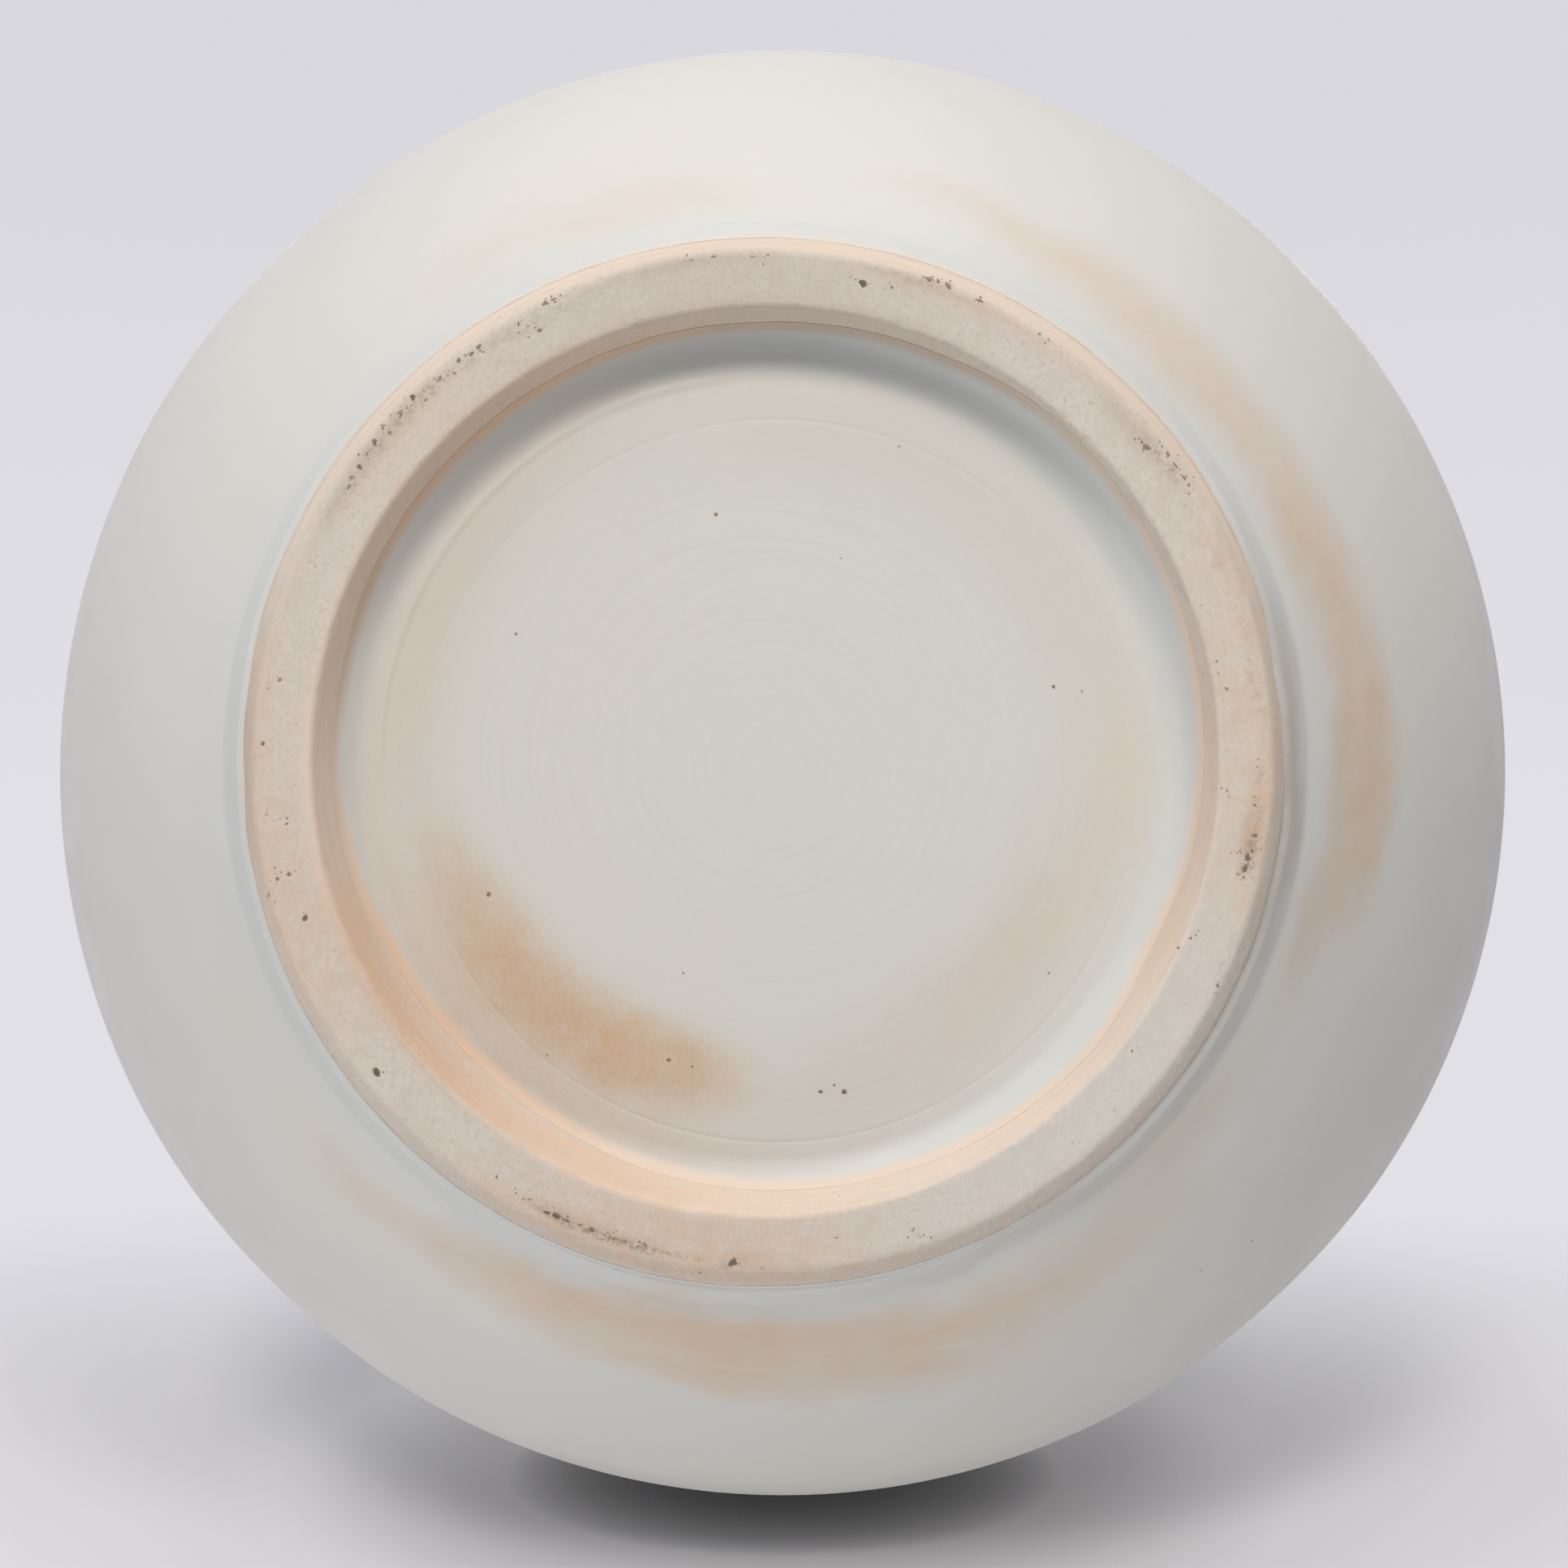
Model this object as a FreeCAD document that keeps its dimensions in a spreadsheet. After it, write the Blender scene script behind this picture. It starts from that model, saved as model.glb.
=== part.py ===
"""Moon jar: two thrown bowls luted rim to rim, a foot ring, a mouth collar and three coats of glaze.

Millimetres. The jar stands upright on its foot: +Z is up and the origin is the centre of the bearing face.
Every piece is turned about Z from a half section drawn in the XZ plane.
"""
import FreeCAD, Part
import os
import Sketcher

SIZES = [
    ("belly_diameter", 312, "across the glazed belly at its widest circle"),
    ("belly_height", 136.5, "from the bearing face up to the widest circle"),
    ("shoulder_diameter", 166, "clay at the shoulder, where the collar is luted on"),
    ("shoulder_height", 275.5, "from the bearing face up to that circle"),
    ("wall_thickness", 6, "clay of both bowls and of the collar"),
    ("floor_thickness", 9, "clay of the floor, over the foot well"),
    ("haunch_radius", 40, "curve inside, from the floor into the wall"),
    ("neck_radius", 13, "hollow curve outside, from the shoulder into the collar"),
    ("lip_lean", 12, "degrees that the collar leans out at its lip"),
    ("seam_thickness", 1.2, "slip between the rims of the two bowls"),
    ("glaze_thickness", 0.5, "each coat of glaze"),
    ("foot_root_diameter", 183.6, "clay where the foot meets the lower bowl"),
    ("foot_height", 11, "from the bearing face up to the foot's root and the well's ceiling"),
    ("foot_spread", 5.2, "how far the foot's outer wall draws in from its root to the bevel"),
    ("bevel_width", 2.6, "bare outer bevel, across"),
    ("bevel_height", 2.5, "bare outer bevel, along the axis"),
    ("bearing_width", 9, "bare face that the jar stands on, across"),
    ("cove_radius", 5, "hollow curve between the foot and the bowl"),
    ("edge_radius", 0.7, "worn edges of the bearing face"),
    ("well_lean", 19, "degrees that the well's wall leans in"),
    ("cavetto_radius", 6, "hollow curve from the well's wall into its ceiling"),
    ("glaze_overlap", 1, "how far the well's glaze runs down the wall from that curve"),
    ("line_inset", 5.6, "turned line in from the edge of the well's flat ceiling"),
    ("line_radius", 0.3, "half width of the turned line"),
    ("line_offset_x", 1.9, "the turned line's centre from the axis, along X"),
    ("line_offset_y", 3.2, "the turned line's centre from the axis, along Y"),
]

document = FreeCAD.newDocument("moon_jar")
sheet = document.addObject("Spreadsheet::Sheet", "Sizes")
for row, (alias, size, meaning) in enumerate(SIZES, start=1):
    sheet.set(f"A{row}", str(size))
    sheet.setAlias(f"A{row}", alias)
    sheet.set(f"B{row}", meaning)
document.recompute()

outline = document.addObject("App::VarSet", "Outline")


def derive(name, formula):
    """Add one worked-out size to the outline, bound to the sheet."""
    outline.addProperty("App::PropertyFloat", name, "Outline", "")
    outline.setExpression(name, formula)


def place(name, x, z):
    """Add a corner or centre of the half sections: its distance from the axis and its height."""
    derive(name + "_x", x)
    derive(name + "_z", z)


def step_off(name, start, distance, direction):
    """Place a corner at a distance from another, along a direction that has a name."""
    place(name, f"{start}_x + ({distance}) * {direction}_x", f"{start}_z + ({distance}) * {direction}_z")


def derive_bowls():
    """Arcs that stand upright at the widest circle and end at the foot's root and at the shoulder."""
    derive("wall", "Sizes.wall_thickness")
    derive("glaze", "Sizes.glaze_thickness")
    derive("half_seam", "Sizes.seam_thickness / 2")
    place("belly", "Sizes.belly_diameter / 2 - glaze", "Sizes.belly_height")
    place("belly_coat", "belly_x + glaze", "belly_z")
    place("inside", "belly_x - wall", "belly_z")
    place("inside_coat", "inside_x - glaze", "belly_z")
    place("root", "Sizes.foot_root_diameter / 2", "Sizes.foot_height")
    place("shoulder", "Sizes.shoulder_diameter / 2", "Sizes.shoulder_height")
    for bowl, end, side in (("lower", "root", "-"), ("upper", "shoulder", "+")):
        centre_x = f"(belly_x ^ 2 - {end}_x ^ 2 - (belly_z - {end}_z) ^ 2) / (2 * (belly_x - {end}_x))"
        place(bowl, centre_x, "belly_z")
        derive(bowl + "_radius", f"belly_x - {bowl}_x")
        derive(bowl + "_coat_radius", f"{bowl}_radius + glaze")
        derive(bowl + "_inside_radius", f"{bowl}_radius - wall")
        derive(bowl + "_inside_coat_radius", f"{bowl}_inside_radius - glaze")
        rim_z = f"belly_z {side} half_seam"
        for face, radius in (("out", "radius"), ("in", "inside_radius")):
            place(f"{bowl}_rim_{face}", f"{bowl}_x + sqrt({bowl}_{radius} ^ 2 - half_seam ^ 2)", rim_z)
        place(end + "_normal", *(f"({end}_{axis} - {bowl}_{axis}) / {bowl}_radius" for axis in "xz"))
        step_off(end + "_coat", end, "glaze", end + "_normal")


def derive_floor():
    """Inside of the lower bowl: a flat floor and a haunch tangent to the floor and to the wall."""
    derive("haunch_radius", "Sizes.haunch_radius")
    derive("haunch_coat_radius", "haunch_radius - glaze")
    place("floor", "0", "root_z + Sizes.floor_thickness")
    place("floor_coat", "0", "floor_z + glaze")
    derive("haunch_reach", "lower_inside_radius - haunch_radius")
    derive("haunch_drop", "belly_z - floor_z - haunch_radius")
    place("haunch", "lower_x + sqrt(haunch_reach ^ 2 - haunch_drop ^ 2)", "floor_z + haunch_radius")
    place("haunch_normal", "(haunch_x - lower_x) / haunch_reach", "-haunch_drop / haunch_reach")
    step_off("haunch_top", "lower", "lower_inside_radius", "haunch_normal")
    step_off("haunch_top_coat", "lower", "lower_inside_coat_radius", "haunch_normal")
    place("haunch_low", "haunch_x", "floor_z")
    place("haunch_low_coat", "haunch_x", "floor_coat_z")


def derive_collar():
    """One centre for the collar's hollow outside and its round inside, and a full round lip."""
    derive("neck_radius", "Sizes.neck_radius")
    derive("neck_coat_radius", "neck_radius - glaze")
    derive("neck_inside_radius", "neck_radius + wall")
    derive("neck_inside_coat_radius", "neck_inside_radius + glaze")
    derive("lip_radius", "wall / 2")
    derive("lip_coat_radius", "lip_radius + glaze")
    step_off("neck", "shoulder", "neck_radius", "shoulder_normal")
    step_off("seat", "shoulder", "-wall", "shoulder_normal")
    step_off("seat_coat", "shoulder", "-wall - glaze", "shoulder_normal")
    place("lean", "-cos(Sizes.lip_lean)", "sin(Sizes.lip_lean)")
    place("rise", "lean_z", "-lean_x")
    step_off("lip", "neck", "neck_radius + lip_radius", "lean")
    step_off("lip_out", "neck", "neck_radius", "lean")
    step_off("lip_out_coat", "neck", "neck_coat_radius", "lean")
    step_off("lip_in", "neck", "neck_inside_radius", "lean")
    step_off("lip_in_coat", "neck", "neck_inside_coat_radius", "lean")
    step_off("crown", "lip", "lip_radius", "rise")
    step_off("crown_coat", "lip", "lip_coat_radius", "rise")


def derive_foot():
    """Foot ring: bare bearing face and bevel, a wall tangent to the cove, and the well inside."""
    derive("cove_radius", "Sizes.cove_radius")
    derive("cove_coat_radius", "cove_radius - glaze")
    step_off("cove", "root", "cove_radius", "root_normal")
    place("bevel", "root_x - Sizes.foot_spread", "Sizes.bevel_height")
    place("cove_gap", "cove_x - bevel_x", "cove_z - bevel_z")
    derive("cove_span", "cove_gap_x ^ 2 + cove_gap_z ^ 2")
    derive("foot_wall", "sqrt(cove_span - cove_radius ^ 2)")
    place("foot_up", "(cove_gap_x * foot_wall - cove_gap_z * cove_radius) / cove_span",
          "(cove_gap_x * cove_radius + cove_gap_z * foot_wall) / cove_span")
    place("foot_normal", "foot_up_z", "-foot_up_x")
    step_off("cove_low", "bevel", "foot_wall", "foot_up")
    step_off("cove_low_coat", "cove_low", "glaze", "foot_normal")
    step_off("bevel_coat", "bevel", "glaze", "foot_normal")
    place("bearing_out", "bevel_x - Sizes.bevel_width", "0")
    place("bearing_in", "bearing_out_x - Sizes.bearing_width", "0")
    place("well_up", "-sin(Sizes.well_lean)", "cos(Sizes.well_lean)")
    place("well_clay", "well_up_z", "-well_up_x")
    derive("cavetto_radius", "Sizes.cavetto_radius")
    derive("cavetto_coat_radius", "cavetto_radius - glaze")
    derive("cavetto_height", "root_z - cavetto_radius")
    derive("cavetto_run", "(cavetto_radius + cavetto_height * well_clay_z) / well_clay_x")
    place("cavetto", "bearing_in_x - cavetto_run", "cavetto_height")
    step_off("well_top", "cavetto", "cavetto_radius", "well_clay")
    step_off("well_top_coat", "cavetto", "cavetto_coat_radius", "well_clay")
    step_off("well_edge", "well_top", "-Sizes.glaze_overlap", "well_up")
    step_off("well_edge_coat", "well_edge", "-glaze", "well_clay")
    place("ceiling", "0", "root_z")
    place("ceiling_coat", "0", "root_z - glaze")
    place("ceiling_edge", "cavetto_x", "root_z")
    place("ceiling_edge_coat", "cavetto_x", "ceiling_coat_z")
    place("line_centre", "Sizes.line_offset_x", "ceiling_coat_z")
    place("line", "line_centre_x + ceiling_edge_x - Sizes.line_inset", "ceiling_coat_z")


derive_bowls()
derive_floor()
derive_collar()
derive_foot()
document.recompute()

ORIGIN_INDEX = (-1, 1)


def corner(name):
    """The place of a corner or centre, in the sketch plane."""
    return FreeCAD.Vector(getattr(outline, name + "_x"), getattr(outline, name + "_z"), 0)


def add_sketch(body, name):
    """An empty sketch on the body's own XZ plane."""
    plane = next(part for part in body.Origin.OriginFeatures if part.Role == "XZ_Plane")
    sketch = body.newObject("Sketcher::SketchObject", name)
    sketch.AttachmentSupport = [(plane, "")]
    sketch.MapMode = "FlatFace"
    return sketch


def bind(sketch, kind, places, name, formula, start):
    """Add a dimension to a sketch and bind it to a worked-out size."""
    index = sketch.addConstraint(Sketcher.Constraint(kind, *places, start))
    sketch.renameConstraint(index, name)
    sketch.setExpression("Constraints." + name, formula)


def pin(sketch, geometry, end, name):
    """Hold one end of a line or arc, or a circle's centre, where the outline says."""
    for letter, kind, level in (("x", "DistanceX", "Vertical"), ("z", "DistanceY", "Horizontal")):
        value = getattr(outline, f"{name}_{letter}")
        if value == 0:
            sketch.addConstraint(Sketcher.Constraint(level, *ORIGIN_INDEX, geometry, end))
        else:
            formula = f"Outline.{name}_{letter}"
            bind(sketch, kind, (*ORIGIN_INDEX, geometry, end), f"{name}_{letter}", formula, value)


def add_arc(sketch, first, last, centre, radius):
    """Draw the short arc between two corners; return its index and which of its ends comes first."""
    spokes = [corner(name) - corner(centre) for name in (first, last)]
    anticlockwise = spokes[0].x * spokes[1].y > spokes[0].y * spokes[1].x
    if not anticlockwise:
        spokes.reverse()
    circle = Part.Circle(corner(centre), FreeCAD.Vector(0, 0, 1), getattr(outline, radius))
    ends = [circle.parameter(corner(centre) + spoke) for spoke in spokes]
    index = sketch.addGeometry(Part.ArcOfCircle(circle, *ends), False)
    bind(sketch, "Radius", (index,), f"{radius}_{index}", "Outline." + radius, getattr(outline, radius))
    return index, (1, 2) if anticlockwise else (2, 1)


def turn(label, section):
    """Make a body whose closed half section is turned a full turn about Z.

    Each row of the section is the next corner, followed for an arc by its centre and its radius.
    """
    body = document.addObject("PartDesign::Body", label)
    body.Label = label
    sketch = add_sketch(body, label + "_section")
    pieces = []
    first = section[-1][0]
    for last, *arc in section:
        if arc:
            pieces.append(add_arc(sketch, first, last, *arc))
        else:
            pieces.append((sketch.addGeometry(Part.LineSegment(corner(first), corner(last)), False), (1, 2)))
        first = last
    for (piece, ends), (following, next_ends), row in zip(pieces, pieces[1:] + pieces[:1], section):
        sketch.addConstraint(Sketcher.Constraint("Coincident", piece, ends[1], following, next_ends[0]))
        pin(sketch, following, next_ends[0], row[0])
    solid = body.newObject("PartDesign::Revolution", label + "_turned")
    solid.Profile = sketch
    solid.ReferenceAxis = (sketch, ["V_Axis"])
    sketch.Visibility = False
    document.recompute()
    return body, solid


lower_bowl, _ = turn("lower_bowl", [
    ("ceiling",),
    ("root",),
    ("lower_rim_out", "lower", "lower_radius"),
    ("lower_rim_in",),
    ("haunch_top", "lower", "lower_inside_radius"),
    ("haunch_low", "haunch", "haunch_radius"),
    ("floor",),
])

upper_bowl, _ = turn("upper_bowl", [
    ("upper_rim_out",),
    ("shoulder", "upper", "upper_radius"),
    ("seat",),
    ("upper_rim_in", "upper", "upper_inside_radius"),
])

belly_seam, _ = turn("belly_seam", [
    ("lower_rim_out",),
    ("upper_rim_out",),
    ("upper_rim_in",),
    ("lower_rim_in",),
])

mouth_collar, _ = turn("mouth_collar", [
    ("shoulder",),
    ("lip_out", "neck", "neck_radius"),
    ("crown", "lip", "lip_radius"),
    ("lip_in", "lip", "lip_radius"),
    ("seat", "neck", "neck_inside_radius"),
])

foot_ring, foot_turned = turn("foot_ring", [
    ("bearing_in",),
    ("bearing_out",),
    ("bevel",),
    ("cove_low",),
    ("root", "cove", "cove_radius"),
    ("ceiling_edge",),
    ("well_top", "cavetto", "cavetto_radius"),
])

outer_glaze, _ = turn("outer_glaze", [
    ("bevel",),
    ("bevel_coat",),
    ("cove_low_coat",),
    ("root_coat", "cove", "cove_coat_radius"),
    ("belly_coat", "lower", "lower_coat_radius"),
    ("shoulder_coat", "upper", "upper_coat_radius"),
    ("lip_out_coat", "neck", "neck_coat_radius"),
    ("crown_coat", "lip", "lip_coat_radius"),
    ("crown",),
    ("lip_out", "lip", "lip_radius"),
    ("shoulder", "neck", "neck_radius"),
    ("belly", "upper", "upper_radius"),
    ("root", "lower", "lower_radius"),
    ("cove_low", "cove", "cove_radius"),
])

inner_glaze, _ = turn("inner_glaze", [
    ("floor",),
    ("haunch_low",),
    ("haunch_top", "haunch", "haunch_radius"),
    ("inside", "lower", "lower_inside_radius"),
    ("seat", "upper", "upper_inside_radius"),
    ("lip_in", "neck", "neck_inside_radius"),
    ("crown", "lip", "lip_radius"),
    ("crown_coat",),
    ("lip_in_coat", "lip", "lip_coat_radius"),
    ("seat_coat", "neck", "neck_inside_coat_radius"),
    ("inside_coat", "upper", "upper_inside_coat_radius"),
    ("haunch_top_coat", "lower", "lower_inside_coat_radius"),
    ("haunch_low_coat", "haunch", "haunch_coat_radius"),
    ("floor_coat",),
])

foot_well_glaze, _ = turn("foot_well_glaze", [
    ("ceiling",),
    ("ceiling_coat",),
    ("ceiling_edge_coat",),
    ("well_top_coat", "cavetto", "cavetto_coat_radius"),
    ("well_edge_coat",),
    ("well_edge",),
    ("well_top",),
    ("ceiling_edge", "cavetto", "cavetto_radius"),
])


def wear_bearing_edges():
    """Round the two edges of the bearing face, as use leaves them."""
    circles = [
        f"Edge{index}" for index, edge in enumerate(foot_turned.Shape.Edges, start=1)
        if isinstance(edge.Curve, Part.Circle) and abs(edge.Curve.Center.z) <= edge.Tolerance
    ]
    fillet = foot_ring.newObject("PartDesign::Fillet", "worn_edges")
    fillet.Base = (foot_turned, circles)
    fillet.setExpression("Radius", "Sizes.edge_radius")
    foot_ring.Tip = fillet


def turn_line_in_well():
    """Cut the fine line that the trimming tool left in the glazed ceiling, off the jar's axis."""
    sketch = add_sketch(foot_well_glaze, "line_section")
    sketch.setExpression(".AttachmentOffset.Base.z", "-Sizes.line_offset_y")
    line_radius = float(sheet.line_radius)
    bead = sketch.addGeometry(Part.Circle(corner("line"), FreeCAD.Vector(0, 0, 1), line_radius), False)
    pin(sketch, bead, 3, "line")
    bind(sketch, "Radius", (bead,), "line_radius", "Sizes.line_radius", line_radius)
    foot = FreeCAD.Vector(corner("line_centre").x, 0, 0)
    axis = sketch.addGeometry(Part.LineSegment(foot, corner("line_centre")), True)
    sketch.addConstraint(Sketcher.Constraint("Vertical", axis))
    sketch.addConstraint(Sketcher.Constraint("Horizontal", *ORIGIN_INDEX, axis, 1))
    pin(sketch, axis, 2, "line_centre")
    groove = foot_well_glaze.newObject("PartDesign::Groove", "turned_line")
    groove.Profile = sketch
    groove.ReferenceAxis = (sketch, ["Axis0"])
    foot_well_glaze.Tip = groove
    sketch.Visibility = False


wear_bearing_edges()
turn_line_in_well()
document.recompute()

for item in document.Objects:
    if "Invalid" in item.State or "Error" in item.State:
        raise RuntimeError(f"{item.Label} failed: {item.State}")

bodies = [item for item in document.Objects if item.TypeId == "PartDesign::Body"]
for body in bodies:
    if body.Shape.isNull() or not body.Shape.isValid() or len(body.Shape.Solids) != 1:
        raise RuntimeError(f"{body.Label} is not one valid solid")

os.makedirs("parts", exist_ok=True)
for body in bodies:
    body.Shape.exportStep(f"parts/{body.Label}.step")
    box = body.Shape.optimalBoundingBox(False)
    print(f"{body.Label}: {body.Shape.Volume / 1000:.2f} cm3, "
          f"x {box.XMin:.2f}..{box.XMax:.2f}, z {box.ZMin:.2f}..{box.ZMax:.2f}")
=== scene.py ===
"""A white moon jar seen from under its foot: the turned ring, the two bowls and the coats of glaze.

Metres. The jar stands on its foot at the origin, with +Z up its axis. In the photograph it lies on its
side with the foot towards the camera, so the photograph's right is +X and its lower edge is +Y.
"""

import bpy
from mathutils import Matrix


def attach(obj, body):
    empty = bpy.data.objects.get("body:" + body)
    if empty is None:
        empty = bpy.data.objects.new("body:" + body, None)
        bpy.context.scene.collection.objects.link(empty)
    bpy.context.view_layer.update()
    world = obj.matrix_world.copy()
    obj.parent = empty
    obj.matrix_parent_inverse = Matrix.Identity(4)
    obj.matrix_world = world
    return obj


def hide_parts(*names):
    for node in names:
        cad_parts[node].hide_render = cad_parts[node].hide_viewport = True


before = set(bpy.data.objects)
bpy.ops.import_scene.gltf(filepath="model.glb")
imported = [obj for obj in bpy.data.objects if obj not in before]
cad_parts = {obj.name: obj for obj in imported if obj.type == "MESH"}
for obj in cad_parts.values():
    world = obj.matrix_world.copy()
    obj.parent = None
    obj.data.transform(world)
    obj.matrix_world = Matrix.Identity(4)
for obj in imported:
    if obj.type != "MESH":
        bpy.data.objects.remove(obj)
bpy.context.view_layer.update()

import math
import random
from types import SimpleNamespace

import bmesh
import bpy
from bpy.props import FloatProperty, FloatVectorProperty, PointerProperty
from mathutils import Matrix, Vector, noise

bl_info = {
    "name": "Moon Jar",
    "version": (1, 0, 0),
    "blender": (4, 5, 0),
    "location": "3D View > Sidebar > Moon Jar",
    "description": "Builds a thrown and luted moon jar with its turned foot, its glazes and a small studio",
    "category": "Add Mesh",
}

MM = 0.001
# Points closer than this are one point.
TINY = 1e-6

# One seed for the dots strewn round the specks and for the unevenness of each speck.
SPECK_SEED = 7

# How finely the pieces are turned, in segments round the jar.
CLAY_SEGMENTS, FOOT_SEGMENTS, OUTER_SEGMENTS, INNER_SEGMENTS, WELL_SEGMENTS = 128, 600, 320, 288, 440
FOOT_PITCH = 0.5 * MM
SHARP_EDGE = math.radians(50)

# How far the glaze thins out towards its edges, and how it pools in the cove.
OUTER_THINNING, WELL_THINNING = 2.0 * MM, 4.6 * MM
POOL_REACH, POOL_DEPTH, POOL_WIDTH = 24 * MM, 0.8 * MM, 6.5 * MM

# How far the well is off the foot's axis, and between which heights that fades out.
WELL_SHIFT, WELL_SHIFT_TOP, WELL_SHIFT_LOW = 0.5 * MM, 11.3 * MM, 9 * MM


# Sizes and colours that a user would change.

def linear(code):
    """An sRGB hex colour as linear red, green and blue."""
    shares = (int(code[i:i + 2], 16) / 255 for i in (0, 2, 4))
    return tuple(v / 12.92 if v <= 0.04045 else ((v + 0.055) / 1.055) ** 2.4 for v in shares)


def length(name, description, millimetres):
    """A size in the sidebar, written in millimetres and kept in metres."""
    return FloatProperty(name=name, description=description, default=millimetres * MM,
                         unit="LENGTH", subtype="DISTANCE", precision=4)


def colour(name, description, code):
    """A colour in the sidebar, written as sRGB hex."""
    return FloatVectorProperty(name=name, description=description, default=linear(code),
                               subtype="COLOR", size=3, min=0, max=1)


class MoonJarSizes(bpy.types.PropertyGroup):
    """Sizes of the thrown and turned clay, as the solids have them."""
    belly_diameter: length("Belly", "Across the glazed belly at its widest circle", 312)
    belly_height: length("Belly height", "From the bearing face up to the widest circle", 136.5)
    shoulder_diameter: length("Shoulder", "Clay at the shoulder, where the collar is luted on", 166)
    shoulder_height: length("Shoulder height", "From the bearing face up to that circle", 275.5)
    wall_thickness: length("Wall", "Clay of both bowls and of the collar", 6)
    floor_thickness: length("Floor", "Clay of the floor, over the foot well", 9)
    haunch_radius: length("Haunch", "Curve inside, from the floor into the wall", 40)
    neck_radius: length("Neck", "Hollow curve outside, from the shoulder into the collar", 13)
    lip_lean: FloatProperty(name="Lip lean", description="How far the collar leans out at its lip",
                            default=math.radians(12), unit="ROTATION", subtype="ANGLE")
    seam_thickness: length("Seam", "Slip between the rims of the two bowls", 1.2)
    glaze_thickness: length("Glaze", "Each coat of glaze", 0.5)
    foot_root_diameter: length("Foot root", "Clay where the foot meets the lower bowl", 183.6)
    foot_height: length("Foot height", "From the bearing face up to the foot's root", 11)
    foot_spread: length("Foot spread", "How far the foot's wall draws in from its root to the bevel", 5.2)
    bevel_width: length("Bevel width", "Bare outer bevel, across", 2.6)
    bevel_height: length("Bevel height", "Bare outer bevel, along the axis", 2.5)
    bearing_width: length("Bearing face", "Bare face that the jar stands on, across", 9)
    cove_radius: length("Cove", "Hollow curve between the foot and the bowl", 5)
    edge_radius: length("Worn edge", "Round of the bearing face's edges", 0.7)
    well_lean: FloatProperty(name="Well lean", description="How far the well's wall leans in",
                             default=math.radians(19), unit="ROTATION", subtype="ANGLE")
    cavetto_radius: length("Cavetto", "Hollow curve from the well's wall into its ceiling", 6)
    glaze_overlap: length("Glaze overlap", "How far the well's glaze runs down the wall", 1)
    line_inset: length("Turned line", "Turned line in from the edge of the well's ceiling", 5.6)
    line_radius: length("Turned line width", "Half width of the turned line", 0.3)
    line_offset_x: length("Turned line X", "The turned line's centre from the axis, along X", 1.9)
    line_offset_y: length("Turned line Y", "The turned line's centre from the axis, along Y", 3.2)


class MoonJarColours(bpy.types.PropertyGroup):
    """Colours of the fired clay, the glaze, the kiln's flashing and some painted shade."""
    glaze_milk: colour("Glaze, milky", "White glaze where it is thick", "DFDCD7")
    glaze_cool: colour("Glaze, cool", "White glaze where it pools in a hollow", "D6DADA")
    # Painted shade: a greyer glaze colour for the top of the foot well, where the foot ring shades it.
    glaze_painted_shade: colour("Glaze, deep", "Greyer glaze where it gathers at the top of the well", "AEB2B1")
    glaze_blush: colour("Blush", "Peach flashing under the glaze", "D9C1AA")
    well_milk: colour("Well glaze", "Thin glaze in the foot well", "DDDBD5")
    well_blush: colour("Well blush", "Orange flashing in the foot well", "D4B391")
    foot_sand: colour("Bare clay", "Sandy clay of the bearing face", "DFD6CD")
    foot_peach: colour("Peach clay", "Bare clay flashed peach by the flame", "EBD7C6")
    foot_orange: colour("Orange clay", "Bare clay flashed orange", "E0B592")
    # Also laid as painted shade in the cove beside the foot and at the top of the well's wall.
    foot_brown: colour("Brown clay", "Bare clay rubbed and darkened at its edges", "B9A999")
    rust: colour("Rust", "Brown smudges round the iron specks", "9A8672")
    iron: colour("Iron", "Iron specks burnt out of the clay", "54473C")
    body_clay: colour("Body clay", "Fired white clay under the glaze", "DDD3C4")
    studio: colour("Studio", "Pale floor and backdrop", "E1E0E6")


# What the photograph gives, in its own pixels.

PHOTO_SIZE_PX = 1932
FOCAL_PX = 2711
CAMERA_DISTANCE_SHARE = 3.2
BELLY_CENTRE_PX = (964.5, 953.0)
FOOT_CENTRE_PX = (936.0, 936.5)

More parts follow.
